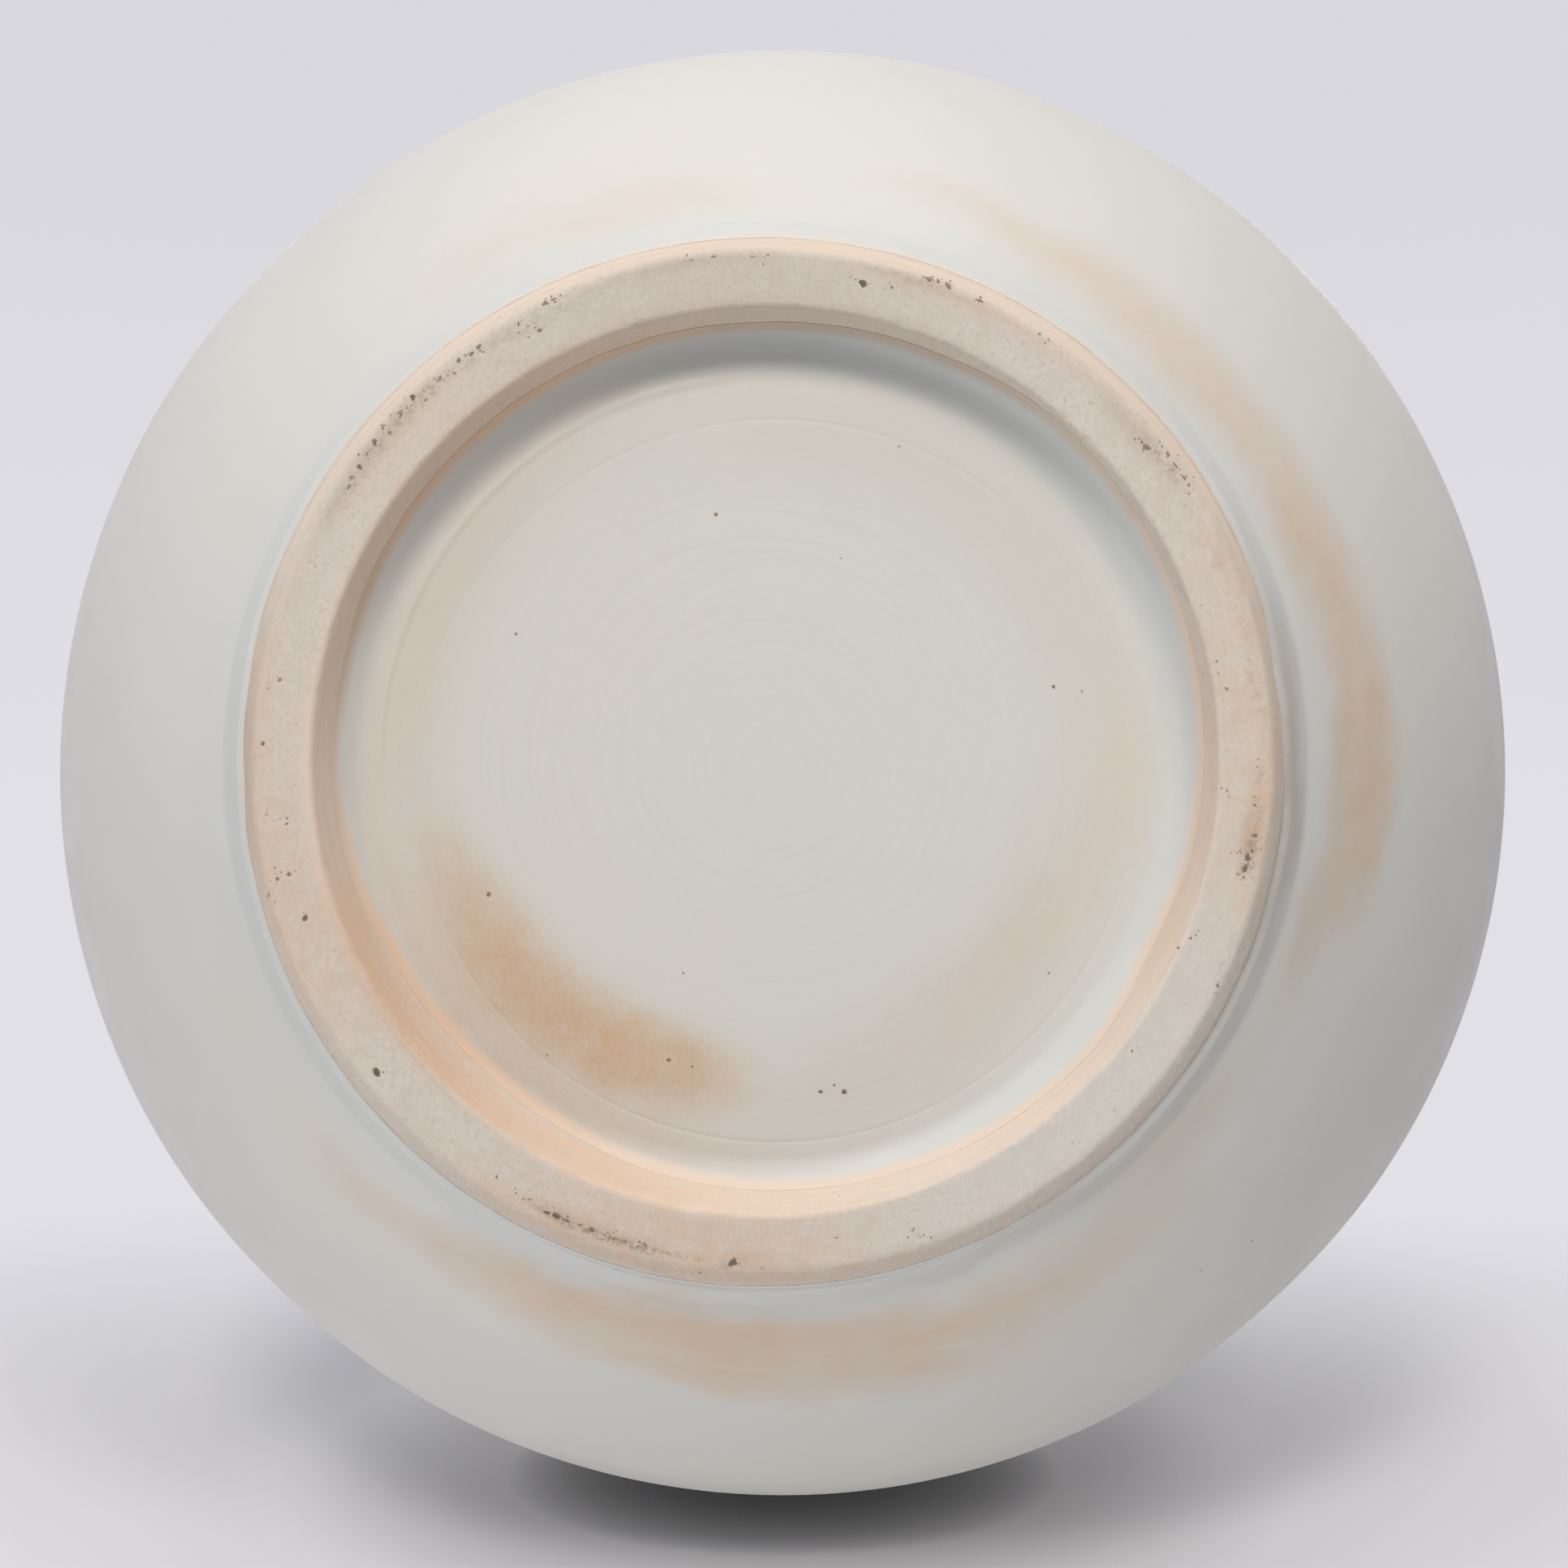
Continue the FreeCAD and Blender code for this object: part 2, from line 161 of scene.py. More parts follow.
# Iron specks: place, half length, half width, tilt in degrees and darkness.
BEARING_SPECKS_PX = (
    (1063, 349, 6.2, 5.2, 42, 1.0), (1099, 354, 3.4, 2.4, 69, 0.4), (1145, 343, 5.5, 2.2, 26, 0.3),
    (1168, 351, 6.5, 3.2, 49, 0.35), (1156, 346, 3.2, 1.8, 20, 0.3), (1207, 370, 7.0, 1.6, 22, 0.25),
    (1281, 411, 2.6, 1.3, 11, 0.25), (1413, 551, 7.0, 3.6, 29, 0.55), (1407, 545, 3.4, 2.6, 60, 0.5),
    (1439, 559, 5.0, 2.4, 62, 0.5), (1448, 573, 6.5, 1.8, 55, 0.4), (1458, 588, 7.0, 1.8, 53, 0.4),
    (1465, 597, 3.0, 1.8, 50, 0.45), (1499, 815, 3.2, 2.0, 58, 0.35), (1512, 849, 3.2, 2.6, 90, 0.5),
    (1549, 945, 2.4, 1.5, 160, 0.25), (1512, 974, 3.0, 1.9, 92, 0.35), (1546, 992, 4.2, 2.3, 22, 0.35),
    (1546, 1029, 5.0, 3.4, 2, 0.6), (1528, 1049, 2.6, 2.0, 69, 0.35), (1537, 1056, 6.5, 3.6, 100, 0.75),
    (1534, 1070, 6.0, 4.2, 118, 0.8), (1543, 1049, 3.6, 2.4, 80, 0.6), (1532, 1081, 3.4, 2.4, 120, 0.45),
    (1467, 1156, 4.2, 2.0, 124, 0.3), (1500, 1214, 3.8, 2.3, 53, 0.45), (1395, 1295, 2.6, 2.2, 101, 0.3),
    (1138, 1522, 3.4, 1.4, 89, 0.25), (1124, 1516, 3.2, 1.5, 44, 0.3), (1031, 1525, 2.9, 1.5, 171, 0.25),
    (942, 1560, 2.8, 1.8, 23, 0.3), (903, 1556, 8.4, 5.2, 153, 0.85), (862, 1568, 2.5, 2.0, 9, 0.35),
    (795, 1534, 5.0, 2.6, 46, 0.45), (788, 1530, 3.0, 2.0, 20, 0.4), (770, 1529, 5.0, 2.4, 12, 0.4),
    (757, 1526, 5.0, 2.6, 10, 0.45), (744, 1521, 3.6, 1.8, 18, 0.35), (729, 1515, 4.4, 3.4, 30, 0.7),
    (714, 1509, 6.0, 1.8, 22, 0.5), (698, 1504, 7.5, 2.2, 25, 0.65), (685, 1498, 7.0, 4.2, 28, 0.9),
    (674, 1494, 6.0, 2.8, 14, 0.8), (653, 1478, 4.0, 1.7, 172, 0.35), (636, 1470, 2.2, 1.8, 16, 0.3),
    (612, 1450, 3.2, 2.2, 92, 0.45), (464, 1321, 7.0, 4.7, 63, 1.0), (376, 1131, 5.0, 3.8, 120, 0.85),
    (331, 1102, 3.6, 1.3, 73, 0.25), (342, 1083, 4.4, 3.3, 66, 0.6), (356, 1077, 3.6, 3.2, 154, 0.6),
    (353, 1008, 3.0, 1.8, 63, 0.25), (328, 1004, 3.0, 1.4, 90, 0.3), (324, 916, 3.8, 3.1, 108, 0.7),
    (330, 842, 2.6, 2.0, 145, 0.3), (345, 838, 4.6, 2.8, 179, 0.4), (406, 629, 2.5, 2.0, 172, 0.3),
    (430, 600, 5.5, 2.6, 123, 0.5), (433, 588, 4.4, 2.6, 110, 0.45), (443, 575, 5.6, 3.8, 50, 0.75),
    (452, 559, 3.8, 2.6, 75, 0.5), (462, 545, 5.6, 3.8, 78, 0.8), (472, 528, 3.0, 2.6, 120, 0.5),
    (480, 533, 3.8, 3.4, 98, 0.5), (493, 511, 5.8, 4.4, 92, 0.55), (509, 490, 5.4, 4.3, 123, 0.9),
    (524, 493, 3.0, 2.0, 168, 0.35), (542, 466, 5.4, 3.2, 99, 0.5), (560, 460, 3.4, 2.6, 18, 0.45),
    (565, 444, 4.6, 3.3, 112, 0.65), (581, 436, 5.0, 2.6, 133, 0.6), (590, 427, 5.0, 2.6, 135, 0.6),
    (639, 399, 5.0, 2.3, 95, 0.45), (665, 407, 4.2, 2.9, 151, 0.55), (672, 374, 5.4, 2.4, 156, 0.55),
    (682, 369, 5.0, 2.2, 150, 0.5), (851, 321, 4.4, 1.5, 3, 0.25), (879, 316, 5.0, 1.8, 167, 0.3),
    (930, 317, 4.6, 1.4, 175, 0.3), (946, 314, 3.6, 1.8, 2, 0.3), (501, 500, 2.6, 1.8, 90, 0.4),
)
WELL_SPECKS_PX = (
    (1298, 846, 3.1, 2.8, 92, 0.6), (1333, 852, 2.6, 1.9, 90, 0.4), (1040, 1345, 3.8, 3.4, 173, 0.85),
    (1028, 1337, 2.7, 2.2, 180, 0.4), (1011, 1345, 3.6, 2.6, 179, 0.6), (853, 1314, 2.3, 2.0, 152, 0.35),
    (824, 1306, 3.6, 2.7, 1, 0.65), (674, 1300, 2.3, 1.9, 97, 0.35), (602, 1102, 3.6, 3.3, 107, 0.6),
    (636, 781, 2.7, 2.5, 84, 0.45), (882, 634, 3.8, 3.2, 133, 0.5), (842, 1199, 2.4, 1.8, 20, 0.3),
    (1292, 1199, 2.4, 1.9, 60, 0.3), (1108, 550, 2.2, 1.8, 10, 0.3), (1036, 688, 2.0, 1.6, 40, 0.25),
)
BELLY_SPECKS_PX = (
    (805, 1623, 3.0, 2.0, 15, 0.35), (1641, 1144, 2.6, 2.0, 40, 0.4), (1545, 1531, 2.6, 2.2, 60, 0.3),
    (300, 1210, 2.2, 1.8, 0, 0.25), (1482, 1568, 2.4, 2.0, 30, 0.3),
)

# Flashing: place, half length along the ring and half width across it in millimetres, strength, softness.
BELLY_BLUSHES_PX = (
    (1245, 275, 22, 4.0, 0.34, 1.0), (1390, 375, 22, 6.0, 0.58, 1.0), (1520, 510, 22, 7.0, 0.66, 1.0),
    (1620, 680, 22, 7.0, 0.80, 0.9), (1685, 870, 24, 7.0, 0.95, 0.8), (1676, 1020, 18, 7.0, 0.86, 0.8),
    (1620, 1140, 14, 5.0, 0.70, 0.9), (1448, 1416, 20, 4.5, 0.44, 1.0), (1340, 1555, 22, 7.0, 0.46, 0.8),
    (1180, 1645, 26, 9.0, 0.56, 0.7), (990, 1680, 30, 11.0, 0.72, 0.4), (820, 1650, 28, 10.0, 0.76, 0.5),
    (770, 1612, 22, 5.0, 0.72, 0.9), (650, 1590, 18, 6.0, 0.74, 0.8), (500, 1515, 22, 3.6, 0.50, 1.0),
    (830, 250, 18, 5.0, 0.34, 1.0), (640, 290, 24, 6.0, 0.16, 1.0),
)
WELL_BLUSHES_PX = (
    (674, 1243, 31, 8.8, 0.90, 0.8), (634, 1204, 20, 8.0, 0.38, 1.0), (800, 1300, 17, 7.5, 0.72, 0.7),
    (560, 1095, 12, 6.0, 0.22, 1.0), (500, 930, 34, 9.0, 0.18, 1.0), (560, 700, 34, 9.0, 0.20, 1.0),
    (700, 520, 34, 8.0, 0.20, 1.0), (1130, 560, 34, 10.0, 0.18, 1.0), (1320, 770, 24, 9.0, 0.20, 1.0),
    (1390, 960, 22, 7.0, 0.18, 1.0), (1290, 1110, 24, 10.0, 0.24, 1.0), (1150, 1260, 26, 10.0, 0.20, 1.0),
    (1010, 1370, 34, 8.0, 0.12, 1.0), (450, 1010, 40, 5.0, 0.12, 1.0), (590, 1290, 42, 5.5, 0.46, 1.0),
    (840, 1420, 36, 4.0, 0.14, 1.0), (445, 760, 30, 4.0, 0.12, 1.0),
)

# Edges that wander round the jar: degrees clockwise from the top of the photograph, then millimetres.
WELL_GLAZE_EDGE = (
    (0, 10.0), (20, 10.9), (40, 12.8), (60, 11.8), (85, 9.8), (100, 8.6), (112, 6.8), (118, 6.3),
    (124, 7.6), (131, 8.9), (148, 8.2), (165, 7.1), (180, 6.3), (195, 5.6), (210, 4.6), (225, 4.2),
    (240, 5.0), (258, 7.6), (270, 8.9), (280, 8.4), (300, 9.6), (330, 9.8), (360, 10.0),
)
OUTER_GLAZE_EDGE = (
    (0, 6.3), (30, 6.1), (55, 6.6), (72, 7.4), (80, 8.7), (88, 8.5), (98, 7.2), (120, 6.6), (150, 6.3),
    (180, 6.2), (215, 6.5), (240, 7.0), (258, 7.6), (268, 8.2), (276, 8.1), (288, 7.2), (310, 6.5),
    (335, 6.2), (360, 6.3),
)
BELLY_FLATS = ((138, 9, 0.5), (222, 10, 0.35), (317, 9, 0.45), (27, 8, 0.3), (350, 12, 0.25))

# Marks of the turning tool in the well: radius, centre, degrees from and to, depth in millimetres.
WELL_MARKS = (
    (29.4, (1.9, -2.5), 285, 350, 0.070), (29.4, (1.9, -2.5), 170, 230, 0.050),
    (31.8, (1.0, -1.5), 290, 345, 0.060), (34.2, (1.4, -1.0), 295, 350, 0.060),
    (36.5, (0.8, -1.2), 300, 350, 0.045), (48.2, (0.6, 0.4), 100, 165, 0.060),
    (50.3, (0.5, 0.6), 105, 170, 0.070), (51.8, (0.4, 0.5), 110, 160, 0.055),
    (65.4, (0.0, 0.0), 262, 358, -0.34), (24.0, (1.6, -2.0), 190, 330, 0.035),
    (42.0, (0.6, 0.2), 20, 110, 0.035), (18.5, (1.2, -1.4), 0, 360, 0.025),
    (55.5, (0.8, 1.0), 200, 300, 0.035), (39.0, (0.9, -0.6), 230, 320, 0.030),
)


# The half section: corners and centres as (distance from the axis, height).

def bowl_arc(belly, end):
    """Centre and radius of the arc that stands upright at the belly and passes through its other end."""
    across, along = belly.x - end.x, belly.y - end.y
    centre = Vector(((belly.x ** 2 - end.x ** 2 - along ** 2) / (2 * across), belly.y))
    return centre, belly.x - centre.x


def measure_outline():
    """Every corner and centre of the half section, worked out from the sizes as the solids' are."""
    s = bpy.context.scene.moon_jar_sizes
    o = SimpleNamespace(coat=s.glaze_thickness, wall=s.wall_thickness)
    o.belly = Vector((s.belly_diameter / 2 - o.coat, s.belly_height))
    o.root = Vector((s.foot_root_diameter / 2, s.foot_height))
    o.shoulder = Vector((s.shoulder_diameter / 2, s.shoulder_height))
    o.lower, o.lower_radius = bowl_arc(o.belly, o.root)
    o.upper, o.upper_radius = bowl_arc(o.belly, o.shoulder)
    o.root_normal = (o.root - o.lower).normalized()
    o.shoulder_normal = (o.shoulder - o.upper).normalized()
    o.half_seam = s.seam_thickness / 2
    o.floor = Vector((0, s.foot_height + s.floor_thickness))
    reach = o.lower_radius - o.wall - s.haunch_radius
    drop = s.belly_height - o.floor.y - s.haunch_radius
    o.haunch = Vector((o.lower.x + math.sqrt(reach ** 2 - drop ** 2), o.floor.y + s.haunch_radius))
    o.haunch_normal = (o.haunch - o.lower).normalized()
    o.neck = o.shoulder + o.shoulder_normal * s.neck_radius
    o.neck_radius = s.neck_radius
    o.lean = Vector((-math.cos(s.lip_lean), math.sin(s.lip_lean)))
    o.rise = Vector((o.lean.y, -o.lean.x))
    o.lip_radius = o.wall / 2
    o.lip = o.neck + o.lean * (s.neck_radius + o.lip_radius)
    o.cove = o.root + o.root_normal * s.cove_radius
    o.bevel = Vector((o.root.x - s.foot_spread, s.bevel_height))
    gap = o.cove - o.bevel
    o.foot_wall = math.sqrt(gap.length_squared - s.cove_radius ** 2)
    o.foot_up = Vector((gap.x * o.foot_wall - gap.y * s.cove_radius,
                        gap.x * s.cove_radius + gap.y * o.foot_wall)) / gap.length_squared
    o.foot_normal = Vector((o.foot_up.y, -o.foot_up.x))
    o.cove_low = o.bevel + o.foot_up * o.foot_wall
    o.bearing_out = Vector((o.bevel.x - s.bevel_width, 0))
    o.bearing_in = Vector((o.bearing_out.x - s.bearing_width, 0))
    o.well_up = Vector((-math.sin(s.well_lean), math.cos(s.well_lean)))
    o.well_clay = Vector((o.well_up.y, -o.well_up.x))
    o.cavetto_radius = s.cavetto_radius
    height = s.foot_height - s.cavetto_radius
    run = (s.cavetto_radius + height * o.well_clay.y) / o.well_clay.x
    o.cavetto = Vector((o.bearing_in.x - run, height))
    o.well_top = o.cavetto + o.well_clay * s.cavetto_radius
    o.well_edge = o.well_top - o.well_up * s.glaze_overlap
    o.ceiling_edge = Vector((o.cavetto.x, s.foot_height))
    o.ceiling = Vector((0, s.foot_height))
    o.foot_height = s.foot_height
    o.well_face = s.foot_height - s.glaze_thickness
    o.top = (o.lip + o.rise * o.lip_radius).y + o.coat
    return o


# Unevenness that throwing, luting and firing leave in a round jar.

def photo_angle(x, y):
    """Degrees clockwise from the top of the photograph, seen from under the foot."""
    return math.degrees(math.atan2(x, -y)) % 360


def wander(table, angle):
    """The value of an edge that wanders round the jar, eased from one row to the next."""
    for (start, low), (end, high) in zip(table, table[1:]):
        if start <= angle <= end:
            share = (angle - start) / (end - start)
            share *= share * (3 - 2 * share)
            return low + (high - low) * share
    return table[-1][1]


def ease(low, high, value):
    """0 below low, 1 above high and a smooth step between them."""
    share = min(1.0, max(0.0, (value - low) / (high - low)))
    return share * share * (3 - 2 * share)


def bell(distance, width):
    """1 at no distance, falling off to nothing over a few widths."""
    return math.exp(-(distance / width) ** 2)


def settle(co, belly_height, top):
    """Where a point of the true round jar lies on the thrown one: a little flat, ringed and wavy."""
    radius = math.hypot(co.x, co.y)
    if radius < TINY:
        return co
    angle = photo_angle(co.x, co.y)
    away = ease(12 * MM, 60 * MM, co.z) * ease(top, top - 45 * MM, co.z)
    flat = sum(depth * bell((angle - centre + 180) % 360 - 180, width)
               for centre, width, depth in BELLY_FLATS)
    round_x, round_y = co.x / radius, co.y / radius
    swell = noise.noise(Vector((round_x * 1.3, round_y * 1.3, co.z / 0.07)))
    rings = noise.noise(Vector((round_x * 0.9, round_y * 0.9, co.z / 0.0075 + 7)))
    seam_drop = bell(abs(co.z - belly_height) - 6 * MM, 4 * MM)
    seam_wander = 0.6 + 0.4 * noise.noise(Vector((round_x * 2.2, round_y * 2.2, 3)))
    inward = 0.1 + flat + 0.22 * (0.5 + 0.5 * swell) + 0.07 * (0.5 + 0.5 * rings)
    inward = (inward + 0.3 * seam_drop * seam_wander) * away * MM
    mouth = ease(top - 30 * MM, top, co.z)
    oval = (0.6 + 0.6 * math.cos(2 * math.radians(angle - 70))) * mouth * MM
    dip = (0.25 + 0.25 * math.sin(math.radians(angle * 2 + 40)) + 0.12 * swell + 0.12) * mouth * MM
    scale = 1 - (inward + oval) / radius
    return Vector((co.x * scale, co.y * scale, co.z - max(0.0, dip)))


# Drawing, turning and finishing a section.

class Section:
    """A closed half section in the XZ plane, drawn corner by corner."""

    def __init__(self, start):
        self.bm = bmesh.new()
        self.last = self.bm.verts.new((start.x, 0, start.y))

    def line(self, corner, pitch):
        """Draw a straight edge to a corner, cut about every pitch."""
        made = bmesh.ops.extrude_vert_indiv(self.bm, verts=[self.last])
        self.last, edge = made["verts"][0], made["edges"][0]
        self.last.co = (corner.x, 0, corner.y)
        cuts = int(edge.calc_length() / pitch)
        if cuts:
            bmesh.ops.subdivide_edges(self.bm, edges=[edge], cuts=cuts)
            end = Vector((corner.x, 0, corner.y))
            self.last = min(self.bm.verts, key=lambda vert: (vert.co - end).length)

    def arc(self, corner, centre, pitch):
        """Swing the last corner about a centre to the next one, in steps of about a pitch."""
        here = Vector((self.last.co.x, self.last.co.z)) - centre
        there = corner - centre
        turn = math.atan2(here.x * there.y - here.y * there.x, here.dot(there))
        steps = max(2, round(abs(turn) * there.length / pitch))
        made = bmesh.ops.spin(self.bm, geom=[self.last], cent=(centre.x, 0, centre.y), axis=(0, -1, 0),
                              angle=turn, steps=steps)
        self.last = next(item for item in made["geom_last"] if isinstance(item, bmesh.types.BMVert))
        self.last.co = (corner.x, 0, corner.y)


def draw_section(rows):
    """Draw a closed section: each row is a corner, its arc's centre or None, and a pitch in millimetres."""
    section = Section(rows[-1][0])
    for corner, centre, pitch in rows:
        if centre is None:
            section.line(corner, pitch * MM)
        else:
            section.arc(corner, centre, pitch * MM)
    bmesh.ops.remove_doubles(section.bm, verts=section.bm.verts[:], dist=TINY)
    return section.bm


def turn_section(bm, segments):
    """Turn a section an eighth of a turn, copy it round three times over, and close it at its joins."""
    bmesh.ops.spin(bm, geom=bm.verts[:] + bm.edges[:], cent=(0, 0, 0), axis=(0, 0, 1),
                   angle=math.pi / 4, steps=segments // 8)
    for angle in (math.pi / 4, math.pi / 2, math.pi):
        copy = bmesh.ops.duplicate(bm, geom=bm.verts[:] + bm.edges[:] + bm.faces[:])
        moved = [item for item in copy["geom"] if isinstance(item, bmesh.types.BMVert)]
        bmesh.ops.rotate(bm, verts=moved, cent=(0, 0, 0), matrix=Matrix.Rotation(angle, 3, "Z"))
    bmesh.ops.remove_doubles(bm, verts=bm.verts[:], dist=2 * TINY)
    bmesh.ops.recalc_face_normals(bm, faces=bm.faces[:])


def finish_piece(bm, name, material, node):
    """Make the piece's object, smooth it, give it its material and body, and hide the CAD node it replaces.
    """
    for face in bm.faces:
        face.smooth = True
    for edge in bm.edges:
        if edge.calc_face_angle(0.0) > SHARP_EDGE:
            edge.smooth = False
    mesh = bpy.data.meshes.new(name)
    bm.to_mesh(mesh)
    bm.free()
    mesh.materials.append(material)
    piece = bpy.data.objects.new(name, mesh)
    bpy.context.scene.collection.objects.link(piece)
    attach(piece, "root")
    if node:
        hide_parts(node)


def settle_all(bm, o):
    """Move every point of a piece to where it lies on the thrown jar."""
    for vert in bm.verts:
        vert.co = settle(vert.co, o.belly.y, o.top)


# Where a pixel of the photograph lies on the jar.

def camera_pose():
    """The camera's place and its right, down and forward directions, in the jar's frame."""
    s = bpy.context.scene.moon_jar_sizes
    half = PHOTO_SIZE_PX / 2

    def ray(pixel):
        return Vector(((pixel[0] - half) / FOCAL_PX, (pixel[1] - half) / FOCAL_PX, 1)).normalized()

    belly = ray(BELLY_CENTRE_PX) * CAMERA_DISTANCE_SHARE * s.belly_diameter / 2
    foot_ray = ray(FOOT_CENTRE_PX)
    along = foot_ray.dot(belly)
    foot = foot_ray * (along - math.sqrt(along ** 2 - belly.length_squared + s.belly_height ** 2))
    jar_z = (belly - foot).normalized()
    jar_x = (Vector((1, 0, 0)) - jar_z * jar_z.x).normalized()
    jar_y = jar_z.cross(jar_x)
    turn = Matrix((jar_x, jar_y, jar_z))
    place = Vector((0, 0, s.belly_height)) - turn @ belly
    return place, turn.col[0].copy(), turn.col[1].copy(), turn.col[2].copy()


def look(pixel):
    """Start and direction of the sight line through a pixel of the photograph."""
    place, right, down, forward = camera_pose()
    x, y = ((value - PHOTO_SIZE_PX / 2) / FOCAL_PX for value in pixel)
    return place, (forward + right * x + down * y).normalized()


def on_level(pixel, height):
    """The point at a height of the jar that a pixel shows."""
    start, direction = look(pixel)
    return start + direction * ((height - start.z) / direction.z)


def on_belly(pixel):
    """The point of the lower half of the glazed belly that a pixel shows."""
    s = bpy.context.scene.moon_jar_sizes
    start, direction = look(pixel)
    away = start - Vector((0, 0, s.belly_height))
    b = direction.dot(away)
    c = away.length_squared - (s.belly_diameter / 2) ** 2
    return start + direction * (-b - math.sqrt(max(0.0, b * b - c)))


# Nodes: a short name for each, with its type, settings, inputs in order and output. Any other name is an
# operation of the Math node.

RANGE = ("Value", "From Min", "From Max", "To Min", "To Max")
NOISE = ("Vector", "W", "Scale", "Detail", "Roughness")
NODES = {
    "place": ("TexCoord", {}, (), "Object"),
    "way": ("TexCoord", {}, (), "Generated"),
    "x": ("SeparateXYZ", {}, (0,), "X"),
    "y": ("SeparateXYZ", {}, (0,), "Y"),
    "z": ("SeparateXYZ", {}, (0,), "Z"),
    "rise": ("CombineXYZ", {}, ("Z",), 0),
    "vector add": ("VectorMath", {"operation": "ADD"}, (0, 1), 0),
    "vector subtract": ("VectorMath", {"operation": "SUBTRACT"}, (0, 1), 0),
    "vector multiply": ("VectorMath", {"operation": "MULTIPLY"}, (0, 1), 0),
    "vector scale": ("VectorMath", {"operation": "SCALE"}, (0, "Scale"), 0),
    "vector normal": ("VectorMath", {"operation": "NORMALIZE"}, (0,), 0),
    "vector length": ("VectorMath", {"operation": "LENGTH"}, (0,), "Value"),
    "noise": ("TexNoise", {"noise_dimensions": "4D"}, NOISE, "Fac"),
    "noise colour": ("TexNoise", {"noise_dimensions": "4D"}, NOISE, "Color"),
    "range": ("MapRange", {}, RANGE, 0),
    "ease": ("MapRange", {"interpolation_type": "SMOOTHSTEP"}, RANGE, 0),
    "mix": ("Mix", {"data_type": "RGBA"}, (0, 6, 7), 2),
    "thin": ("Attribute", {"attribute_name": "thin"}, (), "Fac"),
    "darkness": ("Attribute", {"attribute_name": "darkness"}, (), "Fac"),
    "bump": ("Bump", {}, ("Height", "Distance", "Normal"), 0),
    "occlusion": ("AmbientOcclusion", {"samples": 12}, ("Distance",), "AO"),
    "backfacing": ("NewGeometry", {}, (), "Backfacing"),
    "camera ray": ("LightPath", {}, (), "Is Camera Ray"),
    "glossy ray": ("LightPath", {}, (), "Is Glossy Ray"),
    "diffuse": ("BsdfDiffuse", {}, ("Color",), 0),
    "glow": ("Emission", {}, ("Color", "Strength"), 0),
    "clear": ("BsdfTransparent", {}, (), 0),
    "background": ("Background", {}, ("Color", "Strength"), 0),
    "mix shaders": ("MixShader", {}, (0, 1, 2), 0),
    "principled": ("BsdfPrincipled", {}, (), None),
    "material output": ("OutputMaterial", {}, ("Surface",), None),
    "world output": ("OutputWorld", {}, ("Surface",), None),
}


class Nodes:
    """A cleared node tree, and the one way in which nodes are added to it."""

    def __init__(self, tree):
        tree.nodes.clear()
        self.tree = tree

    def add(self, kind, *values):
        """Add a node, link or set its inputs in order, and give its output. A colour may be given by name."""
        node_type, settings, names, output = NODES.get(kind, ("Math", {"operation": kind}, (0, 1, 2), 0))
        node = self.tree.nodes.new("ShaderNode" + node_type)
        for name, value in settings.items():
            setattr(node, name, value)
        for name, value in zip(names, values):
            socket = node.inputs[name]
            if isinstance(value, bpy.types.NodeSocket):
                self.tree.links.new(value, socket)
                continue
            if isinstance(value, str):
                value = getattr(bpy.context.scene.moon_jar_colours, value)
            socket.default_value = (*value, 1) if socket.type == "RGBA" else value
        return node if output is None else node.outputs[output]


